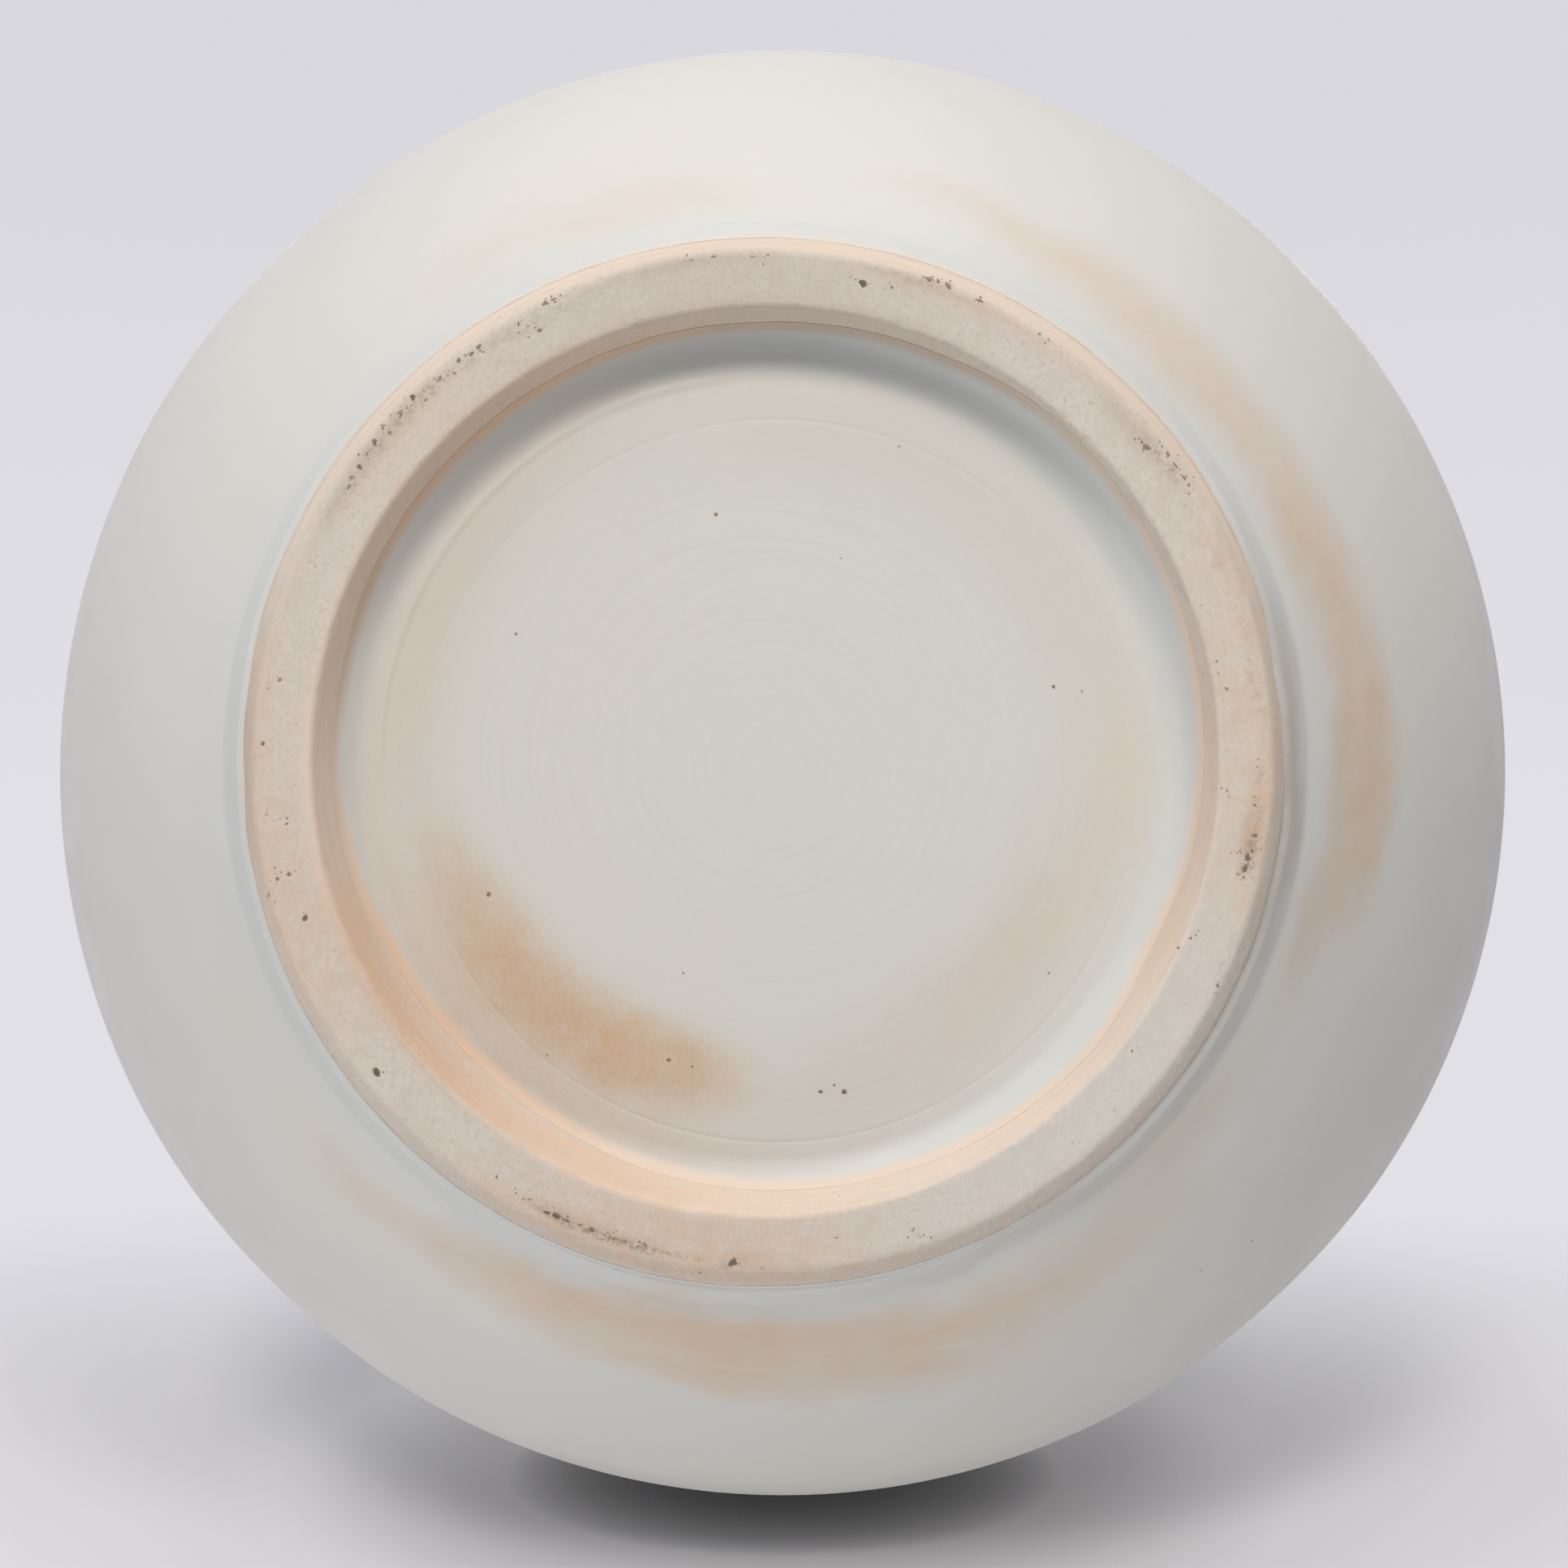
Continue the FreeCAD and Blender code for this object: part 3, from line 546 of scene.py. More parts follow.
class Finish(Nodes):
    """A material, and the few ways in which this jar's finishes are put together."""

    def __init__(self, name, roughness, **sockets):
        self.material = bpy.data.materials.new(name)
        self.material.use_nodes = True
        super().__init__(self.material.node_tree)
        self.surface = self.add("principled")
        for socket, value in {"Roughness": roughness, **sockets}.items():
            self.surface.inputs[socket].default_value = value
        self.add("material output", self.surface.outputs[0])
        self.place = self.add("place")

    def patchy(self, size, detail, rough, seed, low, high, least=0.0, most=1.0):
        """Irregular patches about this many millimetres across, eased from least to most."""
        noise_here = self.add("noise", self.place, seed, 1 / (size * MM), detail, rough)
        return self.add("ease", noise_here, low, high, least, most)

    def polar(self, stray=0.0, size=20.0, seed=0.0):
        """Degrees clockwise from the photograph's top and millimetres from the axis, strayed by noise."""
        place = self.place
        if stray:
            lumps = self.add("noise colour", place, seed, 1 / (size * MM), 4.0, 0.6)
            shift = self.add("vector subtract", lumps, (0.5, 0.5, 0.5))
            place = self.add("vector add", place, self.add("vector scale", shift, 2 * stray * MM))
        up = self.add("MULTIPLY", self.add("y", place), -1.0)
        angle = self.add("DEGREES", self.add("ARCTAN2", self.add("x", place), up))
        radius = self.add("vector length", self.add("vector multiply", place, (1, 1, 0)))
        return angle, self.add("MULTIPLY", radius, 1 / MM)

    def drawn(self, radius, turns, across, seed=0.0, detail=3.0):
        """Noise drawn out round the axis, as fingers and tools leave it on the wheel."""
        way = self.add("vector normal", self.add("vector multiply", self.place, (1, 1, 0)))
        rise = self.add("rise", self.add("MULTIPLY", radius, across))
        place = self.add("vector add", self.add("vector scale", way, turns), rise)
        return self.add("noise", place, seed, 1.0, detail)

    def blush(self, angle, radius, rows):
        """Soft patches laid over each other, each a place in degrees and millimetres with its reach."""
        total = None
        for at_angle, at_radius, reach_angle, reach_radius, strength, soft in rows:
            turned = self.add("WRAP", self.add("SUBTRACT", angle, at_angle), 180.0, -180.0)
            a = self.add("POWER", self.add("DIVIDE", turned, reach_angle), 2.0)
            r = self.add("DIVIDE", self.add("SUBTRACT", radius, at_radius), reach_radius)
            far = self.add("SQRT", self.add("ADD", a, self.add("POWER", r, 2.0)))
            left = self.add("SUBTRACT", 1.0, self.add("ease", far, 1 - soft, 1 + 0.6 * soft, strength, 0.0))
            total = left if total is None else self.add("MULTIPLY", total, left)
        return self.add("SUBTRACT", 1.0, total)

    def lay(self, colour, *coats):
        """Lay colours over a first one, each with its share."""
        for share, coat in coats:
            colour = self.add("mix", share, colour, coat)
        return colour

    def relief(self, *layers):
        """Stack bumps: each is a height, or a noise's size, detail, roughness and seed, then its depth."""
        normal = []
        for *pattern, depth in layers:
            height = pattern[0]
            if len(pattern) > 1:
                size, detail, rough, seed = pattern
                height = self.add("noise", self.place, seed, 1 / (size * MM), detail, rough)
            normal = [self.add("bump", height, depth * MM, *normal)]
        self.tree.links.new(normal[0], self.surface.inputs["Normal"])

    def paint(self, colour_socket, roughness=None):
        """Link the finished colour, and a roughness that varies over the surface."""
        self.tree.links.new(colour_socket, self.surface.inputs["Base Color"])
        if roughness is not None:
            self.tree.links.new(roughness, self.surface.inputs["Roughness"])


def patches(rows, place):
    """Flashing rows as degrees, millimetres from the axis, reaches, strength and softness."""
    found = []
    for x, y, half_length, half_width, strength, soft in rows:
        point = place((x, y))
        radius = math.hypot(point.x, point.y) / MM
        reach = math.degrees(half_length / radius)
        found.append((photo_angle(point.x, point.y), radius, reach, half_width, strength, soft))
    return found


def outer_glaze_material(o):
    """Semi-matt milky glaze, brushed peach by the flame on one side, cooler where it pools at the foot."""
    s = Finish("milky_glaze", 0.42, **{"Specular IOR Level": 0.45, "IOR": 1.5, "Coat Weight": 0.08,
                                       "Coat Roughness": 0.3})
    angle, radius = s.polar(stray=5.5, size=21, seed=2)
    height = s.add("z", s.place)
    lower = s.add("ease", height, 0.13, 0.12)
    # Flashing, broken into soft patches and drawn out by the wheel.
    blush = s.add("MULTIPLY", s.blush(angle, radius, patches(BELLY_BLUSHES_PX, on_belly)), lower)
    streaks = s.add("ease", s.drawn(radius, 2.4, 0.16, 5, 5.0), 0.3, 0.7, 0.80, 1.14)
    broken = s.add("MULTIPLY", s.patchy(8, 5, 0.65, 4, 0.25, 0.75, 0.74, 1.12), streaks)
    blush = s.add("MINIMUM", s.add("MULTIPLY", blush, broken), 1.0)
    # Thick and thin: clouds, the pool in the cove, the lip and the edge at the foot.
    cloud = s.patchy(70, 3, 0.5, 1, 0.3, 0.7, 0.0, 0.35)
    pool = s.add("MULTIPLY", s.add("ease", radius, 101, 92), s.add("ease", height, 0.019, 0.009, 0, 0.55))
    rim = s.add("ease", height, o.lip.y + 1.6 * MM, o.lip.y + 3.4 * MM, 0, 0.35)
    thin = s.add("ADD", s.add("thin"), s.patchy(4, 3, 0.6, 11, 0.3, 0.7, -0.2, 0.2))
    flamed = s.blush(angle, radius, ((355, 88, 62, 30, 0.5, 0.6), (268, 88, 20, 30, 0.4, 0.9)))
    flamed = s.add("MULTIPLY", s.add("ease", thin, 0.35, 1.05), s.add("ADD", flamed, 0.12))
    # Painted shade: a brown tone laid in the glaze of the cove beside the foot, on the right and lower right,
    # where the foot shades the belly.
    painted_cove_shade = s.blush(angle, radius, ((92, 88, 24, 2.6, 0.6, 1.0), (145, 90.5, 30, 2.2, 0.25, 1.0)))
    body = s.lay("glaze_milk",
                 (s.add("MAXIMUM", cloud, pool), "glaze_cool"),
                 (s.patchy(1.6, 3, 0.6, 9, 0.35, 0.7, 0.0, 0.10), "foot_sand"),
                 (rim, "glaze_blush"),
                 (flamed, "foot_peach"),
                 (s.add("MULTIPLY", painted_cove_shade, lower), "foot_brown"),
                 (s.add("MULTIPLY", blush, 0.9), "glaze_blush"))
    s.paint(body, s.add("ADD", s.patchy(12, 3, 0.5, 5, 0.3, 0.7, 0.36, 0.48), s.add("MULTIPLY", blush, 0.1)))
    s.relief((9, 2, 0.5, 6, 0.10), (1.1, 2, 0.5, 8, 0.02))
    return s.material


def inner_glaze_material():
    """The same glaze inside, clouded where it ran thicker."""
    s = Finish("milky_inner_glaze", 0.42, **{"Specular IOR Level": 0.45, "IOR": 1.5})
    s.paint(s.lay("glaze_milk", (s.patchy(45, 3, 0.5, 50, 0.3, 0.7, 0.0, 0.6), "glaze_cool")),
            s.patchy(12, 3, 0.5, 51, 0.3, 0.7, 0.36, 0.5))
    s.relief((9, 2, 0.5, 52, 0.12), (1.1, 2, 0.5, 53, 0.02))
    return s.material


def well_glaze_material(o):
    """Thin satin glaze over turning rings, with a strong orange flash low on its left."""
    s = Finish("thin_well_glaze", 0.5, **{"Specular IOR Level": 0.4, "IOR": 1.5})
    angle, radius = s.polar(stray=2.6, size=17, seed=12)
    blush = s.blush(angle, radius, patches(WELL_BLUSHES_PX, lambda pixel: on_level(pixel, o.well_face)))
    blush = s.add("MULTIPLY", blush, s.patchy(5, 5, 0.7, 14, 0.25, 0.75, 0.74, 1.12))
    blush = s.add("MULTIPLY", blush, s.patchy(0.8, 3, 0.7, 18, 0.3, 0.7, 0.84, 1.14))
    true_angle, true_radius = s.polar()
    rings = s.drawn(true_radius, 1.2, 1.3, 6)
    pool = s.add("MAXIMUM", s.add("ease", true_radius, 64.5, 68.5, 0.0, 0.7),
                 s.patchy(40, 3, 0.5, 3, 0.35, 0.65, 0, 0.35))
    scraped = s.add("MULTIPLY", s.add("ease", rings, 0.45, 0.75, 0, 0.05), s.add("ease", true_radius, 66, 62))
    # Painted shade: greyer glaze laid on the well's wall and cavetto at the top and either side of it, where
    # the foot ring shades them.
    deep = s.blush(true_angle, true_radius, (
        (0, 71.3, 40, 3.4, 0.80, 1.0), (318, 71, 26, 3.0, 0.36, 1.0), (42, 71, 22, 3.0, 0.25, 1.0)))
    # Where the coat thins out on the wall, the flashed clay shows through.
    thin = s.add("ADD", s.add("thin"), s.add("ease", rings, 0.3, 0.7, -0.1, 0.1))
    thin = s.add("MULTIPLY", s.add("ease", thin, 0.15, 0.95), 0.92)
    # Painted shade: brown clay laid on the bare wall at the top of the well, where the foot ring shades it.
    shaded = s.blush(true_angle, true_radius, ((348, 71, 72, 9, 1.0, 0.6),))
    flash = s.blush(true_angle, true_radius, ((234, 71, 28, 9, 0.62, 0.9), (318, 72, 34, 5, 0.7, 0.9)))
    bare = s.lay("foot_peach", (shaded, "foot_brown"), (flash, "foot_orange"))
    body = s.lay("well_milk",
                 (pool, "glaze_cool"),
                 (scraped, "foot_brown"),
                 (s.patchy(0.7, 4, 0.75, 15, 0.45, 0.72, 0.0, 0.34), "foot_sand"),
                 (deep, "glaze_painted_shade"),
                 (s.add("MULTIPLY", blush, 0.95), "well_blush"),
                 (thin, bare))
    s.paint(body, s.patchy(8, 3, 0.5, 16, 0.3, 0.7, 0.44, 0.58))
    s.relief((rings, 0.015), (0.7, 3, 0.6, 17, 0.02))
    return s.material


def foot_clay_material(o):
    """Bare sandy clay, rubbed on its bearing face, flashed peach and orange on its walls."""
    s = Finish("bare_sandy_clay", 0.86, **{"Specular IOR Level": 0.25})
    angle, radius = s.polar(stray=0.9, size=9, seed=21)
    mid = (o.bearing_in.x + o.bearing_out.x) / 2 / MM
    outer = o.bearing_out.x / MM
    wall = (o.bearing_in.x / MM + o.well_top.x / MM) / 2
    peach = s.blush(angle, radius, (
        (130, wall - 0.6, 62, 2.6, 1.0, 0.5), (190, wall - 0.6, 40, 3.0, 0.9, 0.5),
        (268, wall - 0.4, 34, 3.0, 0.9, 0.6), (20, outer + 2.2, 62, 1.9, 1.0, 0.4),
        (-35, outer + 2.2, 40, 1.9, 0.95, 0.4), (252, outer + 1.2, 26, 2.6, 0.35, 0.8),
    ))
    orange = s.blush(angle, radius, (
        (234, wall - 0.5, 22, 3.2, 0.72, 0.8), (206, wall - 0.9, 18, 2.2, 0.40, 0.8),
        (104, wall - 1.0, 30, 1.3, 0.22, 0.9), (318, wall - 0.6, 30, 2.4, 0.5, 1.0),
    ))
    flash = s.blush(angle, radius, (
        (250, mid, 14, 7.0, 0.34, 1.0), (264, mid, 34, 8.0, 0.10, 1.0),
        (188, mid, 22, 7.0, 0.42, 1.0), (186, outer + 1.5, 36, 2.2, 0.30, 0.9),
        (92, mid, 20, 7.0, 0.22, 1.0), (96, outer - 1.2, 14, 2.2, 0.45, 0.9),
        (196, outer - 1.0, 22, 2.4, 0.35, 1.0), (70, outer - 1.0, 9, 1.8, 0.36, 0.9),
        (-45, outer - 4, 14, 4.0, 0.16, 1.0), (75, mid, 24, 7, 0.12, 1),
        (30, outer - 1, 20, 1.4, 0.30, 1.0), (268, outer - 0.6, 24, 2.0, 0.35, 1.0),
    ))
    flash = s.add("MULTIPLY", flash, s.patchy(3.2, 4, 0.65, 29, 0.3, 0.7, 0.35, 1.35))
    # Rubbed, darkened edges of the bearing face, and painted shade on the bevel and cove at the left, right
    # and lower right and on the well's wall at the top.
    brown = s.blush(angle, radius, (
        (150, outer + 2.0, 60, 1.4, 0.14, 0.6), (0, wall - 0.2, 44, 3.4, 0.62, 0.8),
        (355, mid, 34, 6.5, 0.36, 1.0), (271, outer + 2.2, 15, 2.2, 0.7, 0.9),
        (88, outer + 2.0, 22, 1.5, 0.5, 0.9), (352, outer - 0.6, 10, 1.3, 0.45, 1.0),
        (20, outer - 0.8, 9, 1.2, 0.35, 1.0), (308, outer - 1.8, 12, 2.0, 0.55, 1.0),
        (50, outer - 2.0, 7, 2.0, 0.50, 1.0), (98.5, outer - 2.6, 4, 1.8, 0.85, 1.0),
        (200, outer - 2.0, 9, 1.5, 0.60, 1.0), (204, outer - 1.4, 3, 0.9, 0.70, 1.0),
        (182, outer - 1.6, 5, 2.0, 0.40, 1.0),
    ))
    rust = s.blush(angle, radius, (
        (199, outer - 1.5, 7, 0.9, 0.9, 0.9), (192, outer - 1.2, 5, 0.7, 0.7, 1.0),
        (315, outer - 1.9, 13, 1.5, 0.45, 1.0), (335, outer - 2.2, 8, 1.2, 0.3, 1.0),
        (101.5, outer - 2.0, 2.6, 1.5, 0.8, 0.9), (95, outer - 1.8, 5, 1.2, 0.4, 1.0),
        (54, outer - 1.2, 4, 1.0, 0.55, 1.0), (66, outer - 2.2, 6, 1.2, 0.25, 1.0),
        (18, outer - 0.8, 5, 0.8, 0.35, 1.0), (183, outer - 1.2, 1.6, 1.2, 0.6, 1.0),
        (113, outer - 1.0, 3, 0.8, 0.3, 1.0), (80, outer - 1.6, 8, 1.4, 0.25, 1.0),
    ))
    rust = s.add("MULTIPLY", rust, s.patchy(1.3, 4, 0.8, 33, 0.44, 0.62))
    rubbed = s.blush(angle, radius, ((134, mid, 40, 7.0, 0.42, 1.0),))
    # Fine rings from the turning tool, and sand of about a millimetre.
    scraped = s.drawn(s.polar(stray=0.25, size=3, seed=27)[1], 2.0, 2.2, 7, 4.0)
    streak = s.add("MULTIPLY", s.add("ease", scraped, 0.3, 0.7, 0.45, 1.2), 0.85)
    sand = s.add("MAXIMUM", s.patchy(0.7, 5, 0.8, 22, 0.42, 0.70, 0.05, 0.50),
                 s.patchy(5, 5, 0.7, 23, 0.38, 0.68, 0.0, 0.30))
    pale = s.add("MAXIMUM", s.patchy(0.8, 4, 0.75, 28, 0.55, 0.72, 0.0, 0.38), rubbed)
    s.paint(s.lay("foot_sand",
                  (sand, "foot_brown"),
                  (pale, "glaze_milk"),
                  (s.add("MULTIPLY", peach, streak), "foot_peach"),
                  (s.add("MULTIPLY", brown, 0.75), "foot_brown"),
                  (s.add("MULTIPLY", orange, streak), "foot_orange"),
                  (s.add("MULTIPLY", flash, 0.8), "foot_orange"),
                  (rust, "rust"),
                  (s.patchy(0.75, 2, 0.5, 25, 0.69, 0.77, 0.0, 0.36), "iron")))
    s.relief((scraped, 0.09), (0.45, 3, 0.7, 24, 0.06))
    return s.material


def body_clay_material(name, tint):
    """Fired white clay or slip, plain and matt, with fine sandy grains."""
    s = Finish(name, 0.8, **{"Specular IOR Level": 0.3})
    s.paint(s.lay(tint, (s.patchy(0.8, 3, 0.6, 30, 0.4, 0.7, 0.0, 0.3), "foot_sand")))
    s.relief((0.6, 3, 0.6, 31, 0.05))
    return s.material


def iron_material():
    """Iron burnt out of the clay: dark in the large specks, brown at their rims and where they are faint."""
    s = Finish("burnt_iron_speck", 0.55)
    s.paint(s.lay("rust",
                  (s.patchy(0.5, 3, 0.6, 40, 0.3, 0.7, 0.0, 0.6), "foot_brown"),
                  (s.add("ease", s.add("darkness"), 0.1, 1.2, 0.05, 0.9), "iron")))
    s.relief((0.3, 2, 0.5, 41, 0.05))
    return s.material


# Sections of the pieces.

def outer_glaze_rows(o):
    """Coat over the outside, from the bevel over the lip, and back along the clay."""
    c = o.coat
    out = o.foot_normal * c
    return [
        (o.bevel + out, None, 0.6),
        (o.cove_low + out, None, 0.55),
        (o.root + o.root_normal * c, o.cove, 0.7),
        (Vector((o.belly.x + c, o.belly.y)), o.lower, 2.2),
        (o.shoulder + o.shoulder_normal * c, o.upper, 2.2),
        (o.neck + o.lean * (o.neck_radius - c), o.neck, 1.0),
        (o.lip + o.rise * (o.lip_radius + c), o.lip, 0.5),
        (o.lip + o.rise * o.lip_radius, None, 1.0),
        (o.neck + o.lean * o.neck_radius, o.lip, 0.8),
        (o.shoulder, o.neck, 2.4),
        (o.belly, o.upper, 8),
        (o.root, o.lower, 8),
        (o.cove_low, o.cove, 1.2),
        (o.bevel, None, 0.8),
    ]


def inner_glaze_rows(o):
    """Coat over the inside, from the middle of the floor up and over the lip."""
    c = o.coat
    wall = o.wall
    inside = Vector((o.belly.x - wall, o.belly.y))
    return [
        (Vector((o.haunch.x, o.floor.y)), None, 6),
        (o.lower + o.haunch_normal * (o.lower_radius - wall), o.haunch, 6),
        (inside, o.lower, 8),
        (o.shoulder - o.shoulder_normal * wall, o.upper, 8),
        (o.neck + o.lean * (o.neck_radius + wall), o.neck, 3),
        (o.lip + o.rise * o.lip_radius, o.lip, 0.8),
        (o.lip + o.rise * (o.lip_radius + c), None, 1.0),
        (o.neck + o.lean * (o.neck_radius + wall + c), o.lip, 0.5),
        (o.shoulder - o.shoulder_normal * (wall + c), o.neck, 1.2),
        (Vector((inside.x - c, o.belly.y)), o.upper, 2.6),
        (o.lower + o.haunch_normal * (o.lower_radius - wall - c), o.lower, 2.6),
        (Vector((o.haunch.x, o.floor.y + c)), o.haunch, 2.2),
        (Vector((0, o.floor.y + c)), None, 3),
        (o.floor, None, 1),
    ]


def well_glaze_rows(o, sizes):
    """Coat in the foot well, with the turned line cut in its face, and back along the clay."""
    c = o.coat
    face = o.ceiling_edge.y - c
    line = o.ceiling_edge.x - sizes.line_inset
    half = sizes.line_radius * 1.3
    return [
        (Vector((0, face)), None, 1),
        (Vector((line - half, face)), None, 0.62),
        (Vector((line, face + sizes.line_radius * 0.22)), None, 0.2),
        (Vector((line + half, face)), None, 0.2),
        (Vector((o.ceiling_edge.x, face)), None, 0.3),
        (o.well_top - o.well_clay * c, o.cavetto, 0.45),
        (o.well_edge - o.well_clay * c, None, 0.3),
        (o.well_edge, None, 0.2),
        (o.well_top, None, 0.5),
        (o.ceiling_edge, o.cavetto, 0.9),
        (o.ceiling, None, 4),
    ]


def foot_ring_rows(o):
    """Foot ring: its face, bevel, wall, cove, seat on the bowl, cavetto and the well's wall."""
    return [
        (o.bearing_out, None, 100),
        (o.bevel, None, 100),
        (o.cove_low, None, 100),
        (o.root, o.cove, 1.0),
        (o.ceiling_edge, None, 100),
        (o.well_top, o.cavetto, 0.5),
        (o.bearing_in, None, 100),
    ]


def bowl_rows(o):
    """Sections of the clay under the glazes: lower bowl, upper bowl, seam of slip and collar."""
    wall, seam = o.wall, Vector((0, o.half_seam))

    def rim(centre, radius, side):
        return Vector((centre.x + math.sqrt(radius ** 2 - o.half_seam ** 2), o.belly.y)) + seam * side

    low_out, low_in = rim(o.lower, o.lower_radius, -1), rim(o.lower, o.lower_radius - wall, -1)
    up_out, up_in = rim(o.upper, o.upper_radius, 1), rim(o.upper, o.upper_radius - wall, 1)
    seat = o.shoulder - o.shoulder_normal * wall
    lip_out = o.neck + o.lean * o.neck_radius
    lip_in = o.neck + o.lean * (o.neck_radius + wall)
    return {
        "lower_bowl": [(o.root, None, 5), (low_out, o.lower, 4), (low_in, None, 2),
                       (o.lower + o.haunch_normal * (o.lower_radius - wall), o.lower, 4),
                       (Vector((o.haunch.x, o.floor.y)), o.haunch, 4), (o.floor, None, 5),
                       (o.ceiling, None, 20)],
        "upper_bowl": [(o.shoulder, o.upper, 4), (seat, None, 2), (up_in, o.upper, 4), (up_out, None, 2)],
        "belly_seam": [(up_out, None, 1), (up_in, None, 1), (low_in, None, 1), (low_out, None, 1)],
        "mouth_collar": [(lip_out, o.neck, 1.5), (o.lip + o.rise * o.lip_radius, o.lip, 0.8),
                         (lip_in, o.lip, 0.8), (seat, o.neck, 1.5), (o.shoulder, None, 2)],
    }


# Edges of the glaze, the turning marks and the worn foot.

def slide_outer_edge(bm, o):
    """Let the glaze end unevenly on the foot's wall and bevel, and thin out towards its edge."""
    thin = bm.verts.layers.float.new("thin")
    down = -o.foot_up
    along_bevel = (o.bearing_out - o.bevel).normalized()
    bevel_normal = Vector((-along_bevel.y, along_bevel.x))
    for vert in bm.verts:
        radius = math.hypot(vert.co.x, vert.co.y)
        if vert.co.z > o.cove_low.y or radius > o.cove_low.x + 2 * MM:
            continue
        here = Vector((radius, vert.co.z)) - o.cove_low
        along, out = here.dot(down), here.dot(o.foot_normal)
        if along < 0:
            continue
        end = wander(OUTER_GLAZE_EDGE, photo_angle(vert.co.x, vert.co.y)) * MM
        end += 0.35 * MM * noise.noise(vert.co * 160)
        along *= end / o.foot_wall
        vert[thin] = 1 - ease(end, end - OUTER_THINNING, along)
        out *= 1 - 0.9 * vert[thin]
        if along <= o.foot_wall:
            flat = o.cove_low + down * along + o.foot_normal * out
        else:
            flat = o.bevel + along_bevel * (along - o.foot_wall) + bevel_normal * out
        vert.co = Vector((vert.co.x / radius * flat.x, vert.co.y / radius * flat.x, flat.y))


def pool_glaze(bm, o):
    """Let the glaze pool in the cove, so that the foot runs softly into the belly."""
    thin = bm.verts.layers.float["thin"]
    face = o.root + o.root_normal * o.coat
    bm.normal_update()
    moves = []
    for vert in bm.verts:
        radius = math.hypot(vert.co.x, vert.co.y)
        far = (Vector((radius, vert.co.z)) - face).length
        if far < POOL_REACH:
            out = Vector((vert.co.x / radius * o.root_normal.x, vert.co.y / radius * o.root_normal.x,
                          o.root_normal.y))
            if vert.normal.dot(out) > 0.2:
                moves.append((vert, out * (POOL_DEPTH * bell(far, POOL_WIDTH) * (1 - vert[thin]))))
    for vert, move in moves:
        vert.co += move


def slide_well_edge(bm, o, sizes):
    """Let the well's glaze end unevenly down the cavetto and the wall, and thin out towards its edge."""
    low_angle = math.atan2(o.well_clay.y, o.well_clay.x)
    arc = (math.pi / 2 - low_angle) * o.cavetto_radius
    full = arc + sizes.glaze_overlap
    thin = bm.verts.layers.float.new("thin")
    for vert in bm.verts:
        radius = math.hypot(vert.co.x, vert.co.y)
        if radius <= o.cavetto.x + TINY:
            continue
        here = Vector((radius, vert.co.z)) - o.cavetto
        swing = math.atan2(here.y, here.x)
        if swing >= low_angle - 1e-4:
            along, out = (math.pi / 2 - swing) * o.cavetto_radius, o.cavetto_radius - here.length
        else:
            below = Vector((radius, vert.co.z)) - o.well_top
            along, out = arc - below.dot(o.well_up), -below.dot(o.well_clay)
        end = wander(WELL_GLAZE_EDGE, photo_angle(vert.co.x, vert.co.y)) * MM
        end += 0.3 * MM * noise.noise(vert.co * 140)
        along *= end / full
        vert[thin] = 1 - ease(end, end - WELL_THINNING, along)
        out *= 1 - 0.9 * vert[thin]
        if along <= arc:
            swing = math.pi / 2 - along / o.cavetto_radius
            flat = o.cavetto + Vector((math.cos(swing), math.sin(swing))) * (o.cavetto_radius - out)
        else:
            flat = o.well_top - o.well_up * (along - arc) - o.well_clay * out
        vert.co = Vector((vert.co.x / radius * flat.x, vert.co.y / radius * flat.x, flat.y))


def mark_well(bm, o, sizes):
    """Shift the turned line off the axis and press the turning tool's rings into the well's face."""
    edge = o.ceiling_edge.x
    line = edge - sizes.line_inset + 2 * sizes.line_radius
    face = o.ceiling_edge.y - o.coat
    offset = Vector((sizes.line_offset_x, sizes.line_offset_y, 0))
    for vert in bm.verts:
        radius = math.hypot(vert.co.x, vert.co.y)
        if radius >= edge or vert.co.z > face + 0.4 * MM:
            continue
        vert.co += offset * min(1.0, (edge - radius) / (edge - line))
        angle = photo_angle(vert.co.x, vert.co.y)
        depth = 0.10 * (0.5 + 0.5 * noise.noise(vert.co * 26)) * ease(edge, edge - 9 * MM, radius)
        for ring, (x, y), start, end, deep in WELL_MARKS:
            far = math.hypot(vert.co.x - x * MM, vert.co.y - y * MM) / MM - ring
            if abs(far) < 3:
                window = 1
                if end - start < 360:
                    window = ease(start, start + 12, angle) * ease(end, end - 12, angle)
                depth += deep * window * bell(far, 0.55)
        vert.co.z += depth * MM


def wear_foot(bm, o):
    """Leave the foot's clay sandy, its edges nicked and its bearing face rubbed a little hollow."""
    low, high = o.bearing_in.x, o.bearing_out.x
    bm.normal_update()
    moves = []
    for vert in bm.verts:
        radius = math.hypot(vert.co.x, vert.co.y)
        if vert.co.z > o.foot_height - 0.3 * MM:
            continue
        grain = 0.03 * abs(noise.noise(vert.co * 900)) + 0.035 * abs(noise.noise(vert.co * 330))
        edge = min(abs(radius - low), abs(radius - high))
        near = bell(edge, 0.9 * MM) * bell(vert.co.z, 1.2 * MM)
        nick = max(0.0, noise.noise(vert.co * 520) - 0.12) * 0.5 + max(0.0, noise.noise(vert.co * 130)) * 0.04
        middle = 0.05 * ease(low, low + 3 * MM, radius) * ease(high, high - 3 * MM, radius)
        moves.append((vert, -vert.normal * (grain + nick * near + middle) * MM))
    for vert, move in moves:
        vert.co += move
        vert.co.z = max(0.0, vert.co.z)


